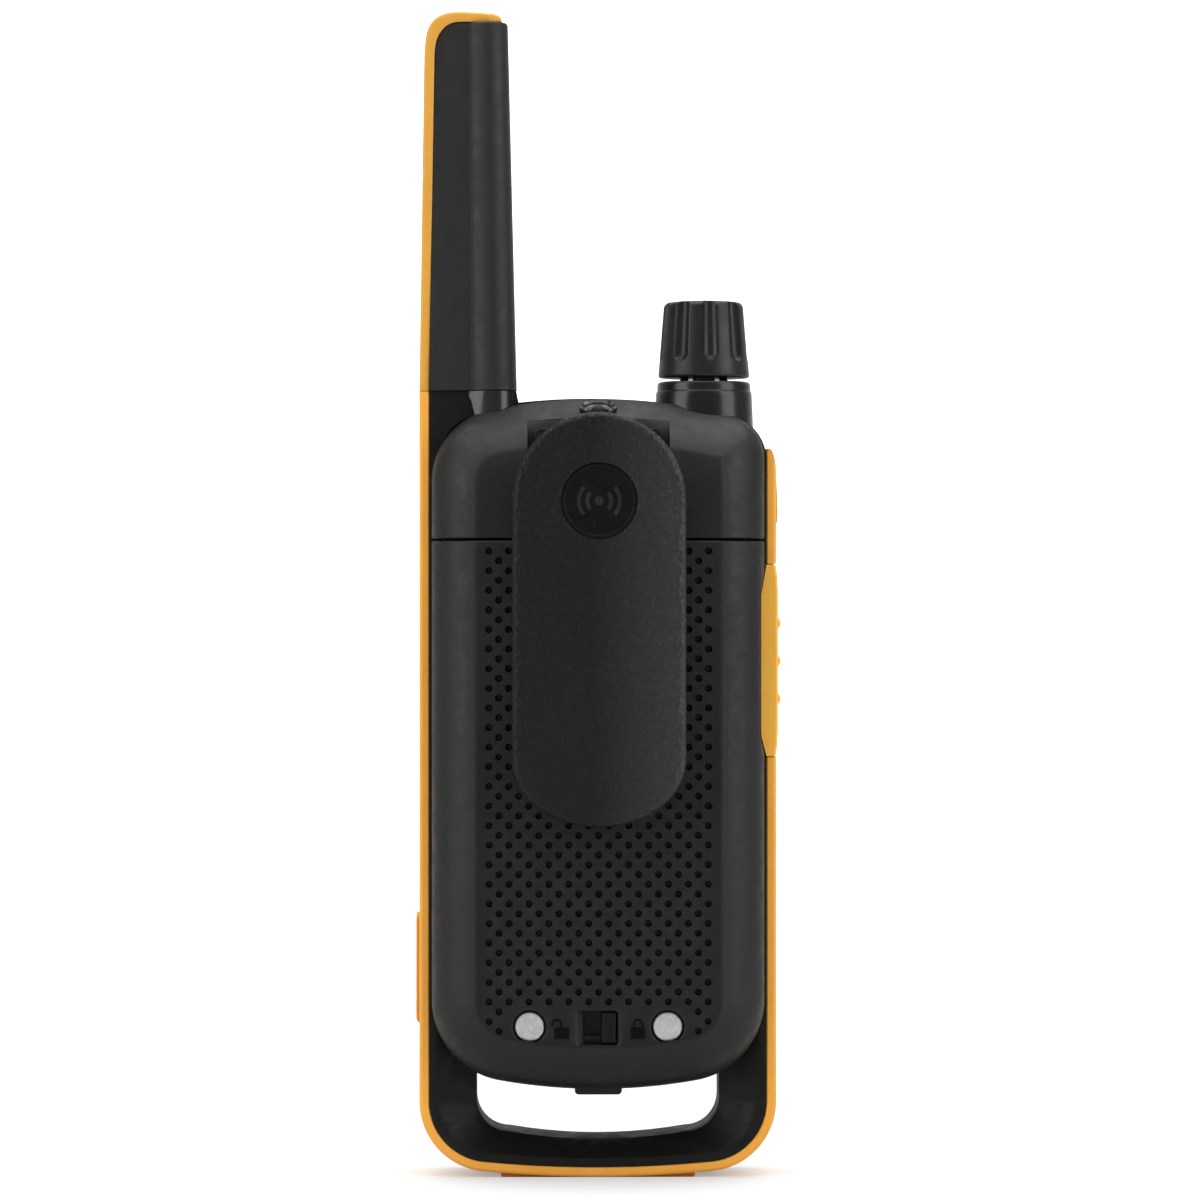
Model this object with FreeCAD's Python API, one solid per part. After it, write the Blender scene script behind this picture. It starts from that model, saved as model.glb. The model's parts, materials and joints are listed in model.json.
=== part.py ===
import FreeCAD, Part
import math
import os

# Handheld two-way radio: moulded front housing with a strap opening at its foot, bumper rim,
# fixed antenna, volume knob, spring belt clip and a battery door over three AA cells.
#
# Frame (mm): the front (display, speaker) faces -Y, the back (belt clip, battery door) faces +Y,
# +Z is up along the antenna. Talk and light keys are on the -X side, ports on the +X side.
# Origin: on the resting plane under the foot, on the body's centre line, near the parting plane.

Vector = FreeCAD.Vector
ORIGIN = Vector(0, 0, 0)
X, Y, Z = Vector(1, 0, 0), Vector(0, 1, 0), Vector(0, 0, 1)
SIDES = (1, -1)      # +X side first
FAR = 40.0           # half width of cutting tools that run past the body
os.makedirs("parts", exist_ok=True)

# ---------------------------------------------------------------- shared dimensions
HALF_W = 30.4        # body half width over the bumper rim
RIM_T = 1.7          # bumper rim thickness
RIM_Y0 = -10.2       # bumper rim front edge
RIM_END = 124.1      # upper end of the rim on the talk key side
FRONT_Y = -13.5      # front face
NOSE_Y = -10.9       # where the front housing starts to narrow towards the front face
PART_Y = 2.5         # rear edge of the front housing
BACK_Y0 = 2.8        # front edge of the rear shells
BACK_Y = 13.4        # rear plateau
BACK_HALF_W = 28.2   # rear shells' half width
WALL = 1.6           # rear shell wall
FWALL = 1.8          # front housing wall
FWALL_Y = -11.7      # inner face of the front wall
TOP_Z = 132.5        # top of the body
TOP_R = 90.0         # radius of the body's top arc
STUB_Z = 133.8       # antenna seam
SEAM_Z0, SEAM_Z1 = 108.25, 108.7   # battery door top edge, rear housing bottom edge
DOOR_Z = 15.4        # battery door bottom edge
FRAME_Z = 0.08       # lowest point of the bumper rim above the resting plane
BOTTOM_R = 200.0     # radius of the body's bottom arc
CORNER_R = 12.0      # radius of the lower body corners
SHOULDER_R = 7.6     # front housing shoulder beside the volume collar
LOW_Z = 40.0         # below this height the inner parts follow the battery door's outline
BOSSES = [(side * x, z) for x, z in ((21.6, 24.4), (24.1, 104.5)) for side in SIDES]
TAB_X, TAB_Z = 17.0, 104.6         # screws through the rear housing's tabs
KNOB_X, KNOB_Y = -18.2, -3.0       # axis of the volume knob
SEAT_Z = 123.8       # bottom of the collar seat
ANT_X, ANT_Y = 18.5, -0.7          # axis of the antenna core
PTT_Z0, PTT_Z1 = 71.7, 104.3       # talk key ends
LIGHT_GAP = (-5.9, 0.9, 110.6, 121.7)   # light key opening: y0, y1, z0, z1
SIDE_Y = -2.5        # centre depth of the ports, light key and side switches
JACK_Z, USB_Z = 30.7, 38.0
SPEAKER_Z = 45.1
MIC_X, MIC_Z = 8.0, 24.5
DISPLAY_Z = 104.0    # centre of the display
WINDOW_HALF = (16.95, 12.95)       # display window half width and half height
KEYPAD_Z = 78.0      # centre of the keypad
# name: centre x, centre z, half width, half height
KEYS = {
    "key_up": (0.0, KEYPAD_Z + 6.6, 6.2, 3.5),
    "key_down": (0.0, KEYPAD_Z - 6.6, 6.2, 3.5),
    "key_menu": (12.4, KEYPAD_Z, 4.4, 5.2),
    "key_call": (-12.4, KEYPAD_Z, 4.4, 5.2),
}
TORCH = Vector(0, 6.2, 131.5)      # centre of the torch opening on the top rear edge
TORCH_TILT = math.radians(66)      # torch axis above the +Y direction
TORCH_DIR = Vector(0, math.cos(TORCH_TILT), math.sin(TORCH_TILT))


# ---------------------------------------------------------------- basic shapes
def box(x0, x1, y0, y1, z0, z1):
    return Part.makeBox(x1 - x0, y1 - y0, z1 - z0, Vector(x0, y0, z0))


def block(x0, x1, y, z, half_y, half_z):
    """Box from x0 to x1, centred on y and z."""
    return box(x0, x1, y - half_y, y + half_y, z - half_z, z + half_z)


def cyl(radius, length, base, axis):
    return Part.makeCylinder(radius, length, Vector(*base), axis)


def tube(outer_r, inner_r, length, base, axis):
    return cyl(outer_r, length, base, axis).cut(cyl(inner_r, length, base, axis))


def arc(start, middle, end):
    return Part.Arc(start, middle, end).toShape()


def line(start, end):
    return Part.LineSegment(start, end).toShape()


def sorted_wire(edges):
    return Part.Wire(Part.__sortEdges__(edges))


def poly(points):
    return Part.makePolygon([Vector(*point) for point in points] + [Vector(*points[0])])


def prism(wire, direction):
    return Part.Face(wire).extrude(direction)


def xz_prism(points, y0, y1):
    return prism(poly([(x, y0, z) for x, z in points]), Vector(0, y1 - y0, 0))


def yz_prism(points, x0, x1):
    return prism(poly([(x0, y, z) for y, z in points]), Vector(x1 - x0, 0, 0))


def xy_prism(points, z0, z1):
    return prism(poly([(x, y, z0) for x, y in points]), Vector(0, 0, z1 - z0))


def turned(points):
    """Solid of revolution about Z from (radius, z) points."""
    return Part.Face(poly([(radius, 0, z) for radius, z in points])).revolve(ORIGIN, Z, 360)


def rounded_outline(low, high, z0, z1, radius, place):
    """Rounded rectangle; place turns (across, z) into a point."""
    inset = radius * (1 - math.sqrt(0.5))
    corners = [
        ((high - radius, z0), (high - inset, z0 + inset), (high, z0 + radius)),
        ((high, z1 - radius), (high - inset, z1 - inset), (high - radius, z1)),
        ((low + radius, z1), (low + inset, z1 - inset), (low, z1 - radius)),
        ((low, z0 + radius), (low + inset, z0 + inset), (low + radius, z0)),
    ]
    edges = []
    for k, (start, middle, end) in enumerate(corners):
        edges.append(arc(place(*start), place(*middle), place(*end)))
        edges.append(line(place(*end), place(*corners[(k + 1) % 4][0])))
    return Part.Wire(edges)


def plate(x, z, half_w, half_h, y0, y1, radius):
    """Plate facing Y, centred on x and z, with rounded corners."""
    wire = rounded_outline(x - half_w, x + half_w, z - half_h, z + half_h, radius,
                           lambda across, up: Vector(across, y0, up))
    return prism(wire, Vector(0, y1 - y0, 0))


def side_plate(x0, x1, half_y, z0, z1, radius):
    """Plate facing X, centred on SIDE_Y, with rounded corners."""
    wire = rounded_outline(SIDE_Y - half_y, SIDE_Y + half_y, z0, z1, radius,
                           lambda across, up: Vector(x0, across, up))
    return prism(wire, Vector(x1 - x0, 0, 0))


def loft(wires):
    return Part.makeLoft(wires, True, True)


def on_side(shape, side):
    """The shape itself for the +X side, its mirror image for the -X side."""
    return shape if side > 0 else shape.mirror(ORIGIN, X)


def fillet(shape, edges, radius):
    """Fillet with a smaller radius where the full one fails, or none where all of them fail."""
    for share in (1.0, 0.7, 0.4):
        # guards against edges that the kernel cannot round at this radius
        try:
            result = shape.makeFillet(radius * share, edges)
            if (result.isValid() and result.Volume > 0.5 * shape.Volume
                    and len(result.Solids) == len(shape.Solids)):
                return result
        except Exception:
            pass
    return shape


def fillet_where(shape, pick, radius):
    return fillet(shape, [edge for edge in shape.Edges if pick(edge)], radius)


def at_y(y):
    return lambda edge: abs(edge.CenterOfMass.y - y) < 0.01


def at_z(z):
    return lambda edge: abs(edge.CenterOfMass.z - z) < 0.01


def is_circle(edge):
    return edge.Curve.TypeId == "Part::GeomCircle"


def helix_coil(radius, pitch, height, wire_r):
    """Coil of round wire that climbs Z from the origin."""
    helix = Part.makeHelix(pitch, height, radius, 0.0)
    first = helix.Edges[0]
    start = first.valueAt(first.FirstParameter)
    tangent = first.tangentAt(first.FirstParameter)
    profile = Part.Wire([Part.makeCircle(wire_r, start, tangent)])
    coil = Part.Wire(helix).makePipeShell([profile], True, False)
    if coil.ShapeType != "Solid":     # the sweep may come back as an open set of faces
        coil = Part.Solid(Part.Shell(coil.Faces))
    return coil


def save(name, shape):
    """Writes the solids of a shape to its own STEP file."""
    solids = shape.Solids
    if not solids:
        raise SystemExit("no solid in " + name)
    result = solids[0] if len(solids) == 1 else Part.makeCompound(solids)
    result.exportStep("parts/%s.step" % name)


# ---------------------------------------------------------------- outlines
def on_circle(x, z, radius, degrees, y):
    angle = math.radians(degrees)
    return Vector(x + radius * math.cos(angle), y, z + radius * math.sin(angle))


def corner(x, arc_z, arc_r, corner_r, up):
    """Centre height and tangent angle of a corner arc that touches a larger arc from inside.

    The larger arc is centred on X = 0; up is 1 above its centre and -1 below."""
    rise = up * math.sqrt((arc_r - corner_r) ** 2 - x ** 2)
    return arc_z + rise, math.degrees(math.atan2(rise, x))


def bottom_edges(half_w, top_pos, top_neg, arc_z, arc_r, corner_x, corner_r, spec, y):
    """Chain from (+half_w, top_pos) down, round the bottom and up to (-half_w, top_neg).

    spec is the corner's centre height and tangent angle."""
    z, angle = spec
    left = -180 - angle
    return [
        line(Vector(half_w, y, top_pos), Vector(half_w, y, z)),
        arc(Vector(half_w, y, z), on_circle(corner_x, z, corner_r, angle / 2, y),
            on_circle(corner_x, z, corner_r, angle, y)),
        arc(on_circle(0, arc_z, arc_r, angle, y), on_circle(0, arc_z, arc_r, -90, y),
            on_circle(0, arc_z, arc_r, left, y)),
        arc(on_circle(-corner_x, z, corner_r, left, y),
            on_circle(-corner_x, z, corner_r, -180 - angle / 2, y), Vector(-half_w, y, z)),
        line(Vector(-half_w, y, z), Vector(-half_w, y, top_neg)),
    ]


def lower_edges(inset, y, top_pos, top_neg):
    """Open chain of the lower body outline, inset from the bumper outline."""
    arc_z = FRAME_Z + BOTTOM_R
    corner_x = HALF_W - CORNER_R
    spec = corner(corner_x, arc_z, BOTTOM_R, CORNER_R, -1)
    return bottom_edges(HALF_W - inset, top_pos, top_neg, arc_z, BOTTOM_R - inset,
                        corner_x, CORNER_R - inset, spec, y)


def front_outline(inset, y, stub=True):
    """Closed front housing outline, inset from the bumper outline.

    With stub it runs up round the antenna stub, whose top stays at STUB_Z."""
    depth = inset - RIM_T
    half_w = HALF_W - inset
    neg_z = TOP_Z - 10.3              # centre height of the -X shoulder
    pos_z = TOP_Z - 10.0              # foot of the +X shoulder when there is no stub
    edges = lower_edges(inset, y, STUB_Z if stub else pos_z, neg_z)
    shoulder_x = -(HALF_W - RIM_T - SHOULDER_R)
    shoulder_r = SHOULDER_R - depth
    angle = math.degrees(math.atan2(neg_z - TOP_Z + TOP_R, shoulder_x))
    shoulder_end = on_circle(shoulder_x, neg_z, shoulder_r, angle, y)
    edges.append(arc(Vector(-half_w, y, neg_z),
                     on_circle(shoulder_x, neg_z, shoulder_r, (180.0 + angle) / 2, y),
                     shoulder_end))
    crown = Vector(-4.0, y, TOP_Z - depth - 0.09)
    if stub:
        stub_x = 13.9 + depth
        root = Vector(stub_x - 0.4, y, TOP_Z - 0.6 - depth)
        edges.append(arc(shoulder_end, crown, root))
        edges.append(line(root, Vector(stub_x, y, STUB_Z)))
        edges.append(line(Vector(stub_x, y, STUB_Z), Vector(half_w, y, STUB_Z)))
    else:
        reach = 9.0 - depth + 0.6     # width of the +X shoulder
        top_z = TOP_Z - 0.8 - depth
        diagonal = math.sqrt(0.5)
        root = Vector(half_w - reach, y, top_z)
        edges.append(arc(shoulder_end, crown, root))
        edges.append(arc(root, Vector(half_w - reach * (1 - diagonal), y,
                                      pos_z + (top_z - pos_z) * diagonal),
                         Vector(half_w, y, pos_z)))
    return sorted_wire(edges)


def back_outline(inset, y):
    """Closed outline of the rear shells, inset on all sides."""
    half_w = BACK_HALF_W - inset
    low_r, low_corner_r = 95.0, 14.0
    low_z = DOOR_Z + low_r
    low_x = BACK_HALF_W - low_corner_r
    low_spec = corner(low_x, low_z, low_r, low_corner_r, -1)
    pos_r = 12.4                      # upper corner on the +X side
    neg_r = max(7.5, inset + 0.4)     # upper corner on the -X side, kept larger than the inset
    arc_z = TOP_Z - TOP_R
    pos_x, neg_x = BACK_HALF_W - pos_r, -(BACK_HALF_W - neg_r)
    pos_z, pos_angle = corner(pos_x, arc_z, TOP_R, pos_r, 1)
    neg_z, neg_angle = corner(neg_x, arc_z, TOP_R, neg_r, 1)
    edges = bottom_edges(half_w, pos_z, neg_z, low_z, low_r - inset,
                         low_x, low_corner_r - inset, low_spec, y)
    edges.append(arc(Vector(-half_w, y, neg_z),
                     on_circle(neg_x, neg_z, neg_r - inset, (180 + neg_angle) / 2, y),
                     on_circle(neg_x, neg_z, neg_r - inset, neg_angle, y)))
    edges.append(arc(on_circle(0, arc_z, TOP_R - inset, neg_angle, y),
                     on_circle(0, arc_z, TOP_R - inset, 90, y),
                     on_circle(0, arc_z, TOP_R - inset, pos_angle, y)))
    edges.append(arc(on_circle(pos_x, pos_z, pos_r - inset, pos_angle, y),
                     on_circle(pos_x, pos_z, pos_r - inset, pos_angle / 2, y),
                     Vector(half_w, y, pos_z)))
    return sorted_wire(edges)


def low_limit(inset, radius):
    """Region above LOW_Z, joined to the door's outline inset and kept above an arc."""
    low = prism(back_outline(inset, -15.0), Vector(0, 30, 0))
    low = low.common(cyl(radius, 40, (0, -20, 115.0), Y))
    low = low.common(box(-FAR, FAR, -20, 20, 0, LOW_Z + 0.01))
    return low.fuse(box(-FAR, FAR, -20, 20, LOW_Z, 150))


def torch_bore(radius, depth):
    """Bore along the torch axis that starts depth below the torch opening."""
    return Part.makeCylinder(radius, 12, TORCH - TORCH_DIR * depth, TORCH_DIR)


# Antenna sections at the seam and near the tip: x, y
ANT_SEAM = [
    (28.68, -4.3), (28.68, 2.9), (21.6, 3.3), (20.6, 4.2), (18.9, 5.0), (16.9, 5.1),
    (15.0, 4.0), (13.95, 1.9), (13.9, -1.8), (14.7, -4.6), (16.6, -6.2), (19.0, -6.3),
    (21.0, -5.4), (22.0, -4.7),
]
ANT_TIP = [
    (27.45, -3.4), (27.45, 2.2), (22.0, 2.5), (21.2, 3.2), (19.7, 3.8), (18.2, 3.9),
    (16.6, 3.1), (15.55, 1.5), (15.4, -1.6), (16.1, -3.8), (17.7, -4.9), (19.6, -5.0),
    (21.3, -4.3), (22.2, -3.7),
]


def section(points, z):
    return poly([(x, y, z) for x, y in points])


# ---------------------------------------------------------------- front housing
LOOP_HALF = 20.7     # strap opening half width
LOOP_Z0 = 6.2        # strap opening: lowest point
LOOP_Z1, LOOP_Z2 = 17.0, 19.2      # strap opening: top at the centre and at the sides
LOOP_BORDER = 1.5    # flat border between the bumper rim and the dished face

# Side profile of the front housing: y, z
FRONT_PROFILE = [
    (PART_Y, -1), (-11.0, -1), (-12.6, 4.0), (FRONT_Y, 9.0), (FRONT_Y, 117.0), (-12.6, 123.5),
    (-10.6, 129.0), (-8.4, 134.0), (PART_Y, 134.0),
]
# Side profile of the cavity: y, z
CAVITY_PROFILE = [
    (20, 18.0), (FWALL_Y, 18.0), (FWALL_Y, 116.6), (-10.9, 122.6), (-9.0, 128.0), (-8.0, 131.0),
    (20, 131.0),
]
# Face of the rounded stub behind the antenna base: x, z
STUB_FACE = [
    (10.0, 128.0), (20.3, 128.0), (20.75, 129.3), (22.2, STUB_Z), (10.0, STUB_Z),
]
STUB_BASE_Z = 128.7


def loop_outline(grow, y):
    """Strap opening outline, grown; its top follows the battery door."""
    half_w, low_z, radius = LOOP_HALF + grow, LOOP_Z0 - grow, 5.6 + grow
    side_z = LOOP_Z2 + grow
    sag = 1.3                         # rise of the bottom arc from its centre to its ends
    inset = radius * (1 - math.sqrt(0.5))
    corner_z = low_z + sag
    foot_x = half_w - radius
    return Part.Wire([
        line(Vector(half_w, y, side_z), Vector(half_w, y, corner_z + radius)),
        arc(Vector(half_w, y, corner_z + radius), Vector(half_w - inset, y, corner_z + inset),
            Vector(foot_x, y, corner_z)),
        arc(Vector(foot_x, y, corner_z), Vector(0, y, low_z), Vector(-foot_x, y, corner_z)),
        arc(Vector(-foot_x, y, corner_z), Vector(-half_w + inset, y, corner_z + inset),
            Vector(-half_w, y, corner_z + radius)),
        line(Vector(-half_w, y, corner_z + radius), Vector(-half_w, y, side_z)),
        arc(Vector(-half_w, y, side_z), Vector(0, y, LOOP_Z1 + grow), Vector(half_w, y, side_z)),
    ])


def dish_outline(y):
    """Outer edge of the dished face: lower body outline closed by an arc under the door."""
    inset, top_z = RIM_T + LOOP_BORDER, 27.0
    half_w = HALF_W - inset
    edges = lower_edges(inset, y, top_z, top_z)
    edges.append(arc(Vector(-half_w, y, top_z), Vector(0, y, top_z - 3.0),
                     Vector(half_w, y, top_z)))
    return Part.Wire(edges)


def front_shell():
    """Hollow front housing before its openings."""
    body = prism(front_outline(RIM_T, NOSE_Y), Vector(0, PART_Y - NOSE_Y, 0))
    nose = loft([front_outline(RIM_T, NOSE_Y), front_outline(RIM_T + 1.0, -12.6),
                 front_outline(RIM_T + 2.6, FRONT_Y)])
    front = body.fuse(nose).common(yz_prism(FRONT_PROFILE, -FAR, FAR)).removeSplitter()
    # the cavity is closed above the strap opening and below the antenna stub
    cavity = prism(front_outline(RIM_T + FWALL, FWALL_Y, stub=False), Vector(0, 20, 0))
    cavity = cavity.common(box(-FAR, FAR, FWALL_Y, 20, 18.9, 130.2))
    cavity = cavity.common(yz_prism(CAVITY_PROFILE, -FAR, FAR))
    cavity = cavity.common(low_limit(2.0, 96.0))
    return front.cut(cavity)


def cut_strap_opening(front):
    front = front.cut(prism(loop_outline(0, -20), Vector(0, 40, 0)))
    # dished face at the rear, kept clear of the battery door
    rim_y = PART_Y + 0.02
    dish = loft([loop_outline(0.0, -1.2), dish_outline(rim_y)])
    dish = dish.fuse(prism(dish_outline(rim_y), Vector(0, 2, 0)))
    front = front.cut(dish.cut(prism(back_outline(0.9, -5.0), Vector(0, 15, 0))))
    # chamfer at the front
    chamfer = loft([loop_outline(1.6, FRONT_Y - 0.05), loop_outline(0.0, -11.6)])
    return front.cut(chamfer.fuse(prism(loop_outline(1.6, FRONT_Y - 2), Vector(0, 1.95, 0))))


def front_housing():
    front = cut_strap_opening(front_shell())
    for x, z in BOSSES:
        front = front.fuse(cyl(2.6, 12.2, (x, FWALL_Y, z), Y))
    for x, z in BOSSES:
        front = front.cut(cyl(0.86, 9.0, (x, -8.5, z), Y))
    # seat for the volume collar
    front = front.cut(cyl(8.7, 20, (KNOB_X, KNOB_Y, SEAT_Z), Z))
    # display window recess and opening
    gap = 0.15
    front = front.cut(plate(0, DISPLAY_Z, WINDOW_HALF[0] + gap, WINDOW_HALF[1] + gap,
                            -14, -12.4, 3.1))
    front = front.cut(plate(0, DISPLAY_Z, 14.3, 9.5, -14, -11, 1.0))
    # seven speaker slots, the middle one longest, and the microphone hole
    for k in range(-3, 4):
        half_w = 17.0 - 0.9 * abs(k) ** 1.5
        front = front.cut(plate(0, SPEAKER_Z + 4.2 * k, half_w, 0.85, -15, -11, 0.84))
    front = front.cut(cyl(0.7, 4, (MIC_X, -15, MIC_Z), Y))
    gap = 0.25
    for x, z, half_w, half_h in KEYS.values():
        front = front.cut(plate(x, z, half_w + gap, half_h + gap, -15, -11,
                                min(half_w, half_h) * 0.8))
    # side openings: talk key, light key, ports
    front = front.cut(box(-30, -26.5, -7.6, 3, PTT_Z0 - 0.3, PTT_Z1 + 0.3))
    front = front.cut(box(-30, -26.5, *LIGHT_GAP))
    front = front.cut(box(25.9, 30, -5.0, 0.0, 27.6, 43.4))
    # antenna passage and torch bore
    front = front.cut(cyl(2.4, 8, (ANT_X, ANT_Y, 128), Z))
    front = front.cut(torch_bore(3.35, 9.0))
    # rounded stub behind the antenna base
    stub = prism(section(ANT_SEAM, STUB_BASE_Z), Vector(0, 0, STUB_Z - STUB_BASE_Z))
    return front.fuse(stub.common(xz_prism(STUB_FACE, 2.45, 8.0))).removeSplitter()


# ---------------------------------------------------------------- bumper rim and foot
FOOT_TOP = 1.05


def rim_outer_edge(edge):
    """Long edges of the rim's front and rear faces along the outer outline."""
    if not (at_y(RIM_Y0)(edge) or at_y(PART_Y)(edge)) or edge.Length <= 3:
        return False
    off_side = min(abs(abs(vertex.Point.x) - HALF_W) for vertex in edge.Vertexes)
    return off_side < 0.02 or edge.CenterOfMass.z < 1.0


def bumper_rim():
    inner_x = HALF_W - RIM_T
    edges = lower_edges(0, RIM_Y0, STUB_Z, RIM_END) + lower_edges(RIM_T, RIM_Y0, STUB_Z, RIM_END)
    edges.append(line(Vector(HALF_W, RIM_Y0, STUB_Z), Vector(inner_x, RIM_Y0, STUB_Z)))
    edges.append(line(Vector(-HALF_W, RIM_Y0, RIM_END), Vector(-inner_x, RIM_Y0, RIM_END)))
    rim = prism(sorted_wire(edges), Vector(0, PART_Y - RIM_Y0, 0))
    rim = fillet_where(rim, rim_outer_edge, 0.7)
    # gaps for the talk key, light key, port cover and foot
    rim = rim.cut(box(-32, -28, -7.6, 3.0, PTT_Z0 - 0.18, PTT_Z1 + 0.18))
    rim = rim.cut(box(-32, -28, *LIGHT_GAP))
    rim = rim.cut(box(28, 32, -6.6, 1.6, 25.6, 45.2))
    rim = rim.cut(box(-16.7, 16.7, -9.5, 1.8, -1, FOOT_TOP))
    # the short end tapers off in a quarter ellipse
    taper_w, taper_h = 1.3, 4.6
    taper = []
    for degrees in range(0, 91, 9):
        angle = math.radians(degrees)
        taper.append((-HALF_W + taper_w - taper_w * math.cos(angle),
                      RIM_END - taper_h + taper_h * math.sin(angle)))
    outside = [(taper[-1][0], RIM_END + 1), (-33, RIM_END + 1), (-33, taper[0][1])]
    return rim.cut(xz_prism(taper + outside, -12, 4))


def foot_pad():
    foot = plate(0, FOOT_TOP / 2, 16.5, FOOT_TOP / 2, -9.3, 1.6, 0.3)
    return fillet_where(foot, at_z(0), 0.25)


# ---------------------------------------------------------------- rear shells
# Rings of the rear body from its front edge to the plateau: inset, y
BEVEL = [
    (0.0, BACK_Y0), (0.0, 5.6), (0.55, 7.6), (1.7, 9.5), (3.4, 11.2), (5.6, 12.6), (7.7, BACK_Y),
]


def back_solid(offset):
    """Rear body lofted through BEVEL; offset shrinks it inward for the cavity."""
    rings = [(inset + offset, y - offset) for inset, y in BEVEL]
    if offset:
        rings = [(min(inset, 8.6), y) for inset, y in rings]   # keeps the tightest corner's radius
        rings[0] = (offset, 2.7)
    solid = loft([back_outline(inset, y) for inset, y in rings])
    # side profile whose top is a quarter ellipse
    crown_z = 115.0
    depth, height = BACK_Y - BACK_Y0 - offset, 17.4 - offset
    profile = [(2.0, 5.0), (BACK_Y - offset, 5.0), (BACK_Y - offset, crown_z)]
    for k in range(1, 13):
        angle = math.radians(90.0 * k / 12)
        profile.append((BACK_Y0 + depth * math.cos(angle), crown_z + height * math.sin(angle)))
    profile.append((2.0, crown_z + height))
    return solid.common(yz_prism(profile, -FAR, FAR))


BACK_OUTER, BACK_INNER = back_solid(0.0), back_solid(WALL)
BACK_SHELL = BACK_OUTER.cut(BACK_INNER).cut(cyl(8.75, 20, (KNOB_X, KNOB_Y, SEAT_Z), Z))

POCKET_Y = 9.2       # floor of the belt clip pocket
POCKET_HALF = 12.0   # half width of the pocket
POCKET_WALL = 1.4
POCKET_FALL = [(POCKET_Y, 125.55), (8.03, 128.65), (7.85, 129.3)]   # floor beside the torch: y, z
FALL_X = 5.2         # inner side of the falling floor


def rear_housing():
    antenna_gap = [(18.0 + (x - 18.0) * 1.05, y * 1.04 + 0.05) for x, y in ANT_SEAM]
    rear = BACK_SHELL.common(box(-FAR, FAR, 0, 20, SEAM_Z1, 140))
    rear = rear.cut(prism(section(antenna_gap, 128.4), Vector(0, 0, 8)))
    # belt clip pocket: solid block behind the plateau, cut back to a flat floor
    wall_x = POCKET_HALF + POCKET_WALL
    pocket = box(-POCKET_HALF, POCKET_HALF, POCKET_Y, 20, 110.0, 140)
    backing = BACK_OUTER.common(box(-wall_x, wall_x, 7.6, 20, SEAM_Z1, 131.0)).cut(pocket)
    rear = rear.cut(pocket).fuse(backing)
    rear = rear.fuse(BACK_OUTER.common(box(-wall_x, wall_x, 6.4, 7.7, 124.0, 131.0)))
    # either side of the torch the pocket floor falls away towards the top
    above = [(POCKET_FALL[-1][0], 141), (20, 141), (20, POCKET_FALL[0][1])]
    wedge = yz_prism(POCKET_FALL + above, FALL_X, POCKET_HALF)
    for side in SIDES:
        rear = rear.cut(on_side(wedge, side))
    # rails that hold the clip base
    for side in SIDES:
        rear = rear.fuse(on_side(box(9.3, POCKET_HALF + 0.05, 11.0, 12.0, 110.0, 118.0), side))
    # screw tabs under the battery door's top edge
    for side in SIDES:
        tab = box(14.2, 19.8, 2.55, 4.0, 101.8, 109.9)
        tab = tab.fuse(box(14.2, 16.6, 2.55, 12.2, 108.72, 109.9))
        rear = rear.fuse(on_side(tab, side))
        rear = rear.cut(cyl(1.1, 4, (side * TAB_X, 1, TAB_Z), Y))
    return rear.cut(torch_bore(3.2, 8.0)).removeSplitter()


# ---------------------------------------------------------------- battery door, lock, contacts
SLOT_X0, SLOT_X1 = -3.2, 2.6       # ends of the lock slot
SLOT_Z0, SLOT_Z1 = 23.6, 29.2
RAMP_X, RAMP_Y = 3.85, 12.2        # finger ramp that leads into the slot
CONTACT_X, CONTACT_Z, CONTACT_R = 11.6, 26.6, 2.45
CONTACT_GAP = 0.35                 # clearance round a charging contact
# Relief beside the talk key: x, z
KEY_RELIEF = [(-32, 71.8), (-28.3, 71.8), (-27.5, 75.2), (-27.5, 99.1), (-28.3, 103.7), (-32, 103.7)]
# Lock guides: rail z0, z1, then lip z0, z1
LOCK_GUIDES = [(21.6, 22.65, 21.6, 23.3), (30.15, 31.2, 29.5, 31.2)]


def battery_door():
    door = BACK_SHELL.common(box(-FAR, FAR, 0, 20, 0, SEAM_Z0))
    door = door.cut(xz_prism(KEY_RELIEF, 0, 9.0))
    slot = box(SLOT_X0, SLOT_X1, 5, 20, SLOT_Z0, SLOT_Z1)
    ramp = xy_prism([(SLOT_X1 - 0.1, RAMP_Y), (SLOT_X1, RAMP_Y), (RAMP_X, BACK_Y + 0.01),
                     (RAMP_X, 20), (SLOT_X1 - 0.1, 20)], SLOT_Z0, SLOT_Z1)
    door = door.cut(slot)
    # contact seats
    for side in SIDES:
        x = side * CONTACT_X
        door = door.cut(cyl(CONTACT_R + CONTACT_GAP, 20, (x, 5, CONTACT_Z), Y))
        door = door.fuse(tube(CONTACT_R + 0.75, 1.4, 1.2, (x, 10.6, CONTACT_Z), Y))
        door = door.cut(cyl(CONTACT_R + CONTACT_GAP, 9, (x, 11.6, CONTACT_Z), Y))
    # finger tab at the lower edge
    door = door.fuse(box(-4.0, 4.0, 3.2, 7.6, 14.6, 17.4).cut(BACK_INNER))
    # top hooks
    for side in SIDES:
        hook = box(18.5, 19.8, 10.45, 11.2, 104.0, 110.3)
        hook = hook.fuse(box(18.5, 19.8, 10.45, 11.9, 104.0, 107.6))
        door = door.fuse(on_side(hook, side))
    # backing round the lock slot, then the guides above and below it
    door = door.fuse(box(-8.3, 8.3, 10.95, 12.2, 22.9, 30.0).cut(slot)).cut(ramp)
    for rail_z0, rail_z1, lip_z0, lip_z1 in LOCK_GUIDES:
        door = door.fuse(box(-8.3, 8.3, 9.55, 12.0, rail_z0, rail_z1))
        door = door.fuse(box(-8.3, 8.3, 9.0, 9.55, lip_z0, lip_z1))
    return door.removeSplitter()


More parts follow.
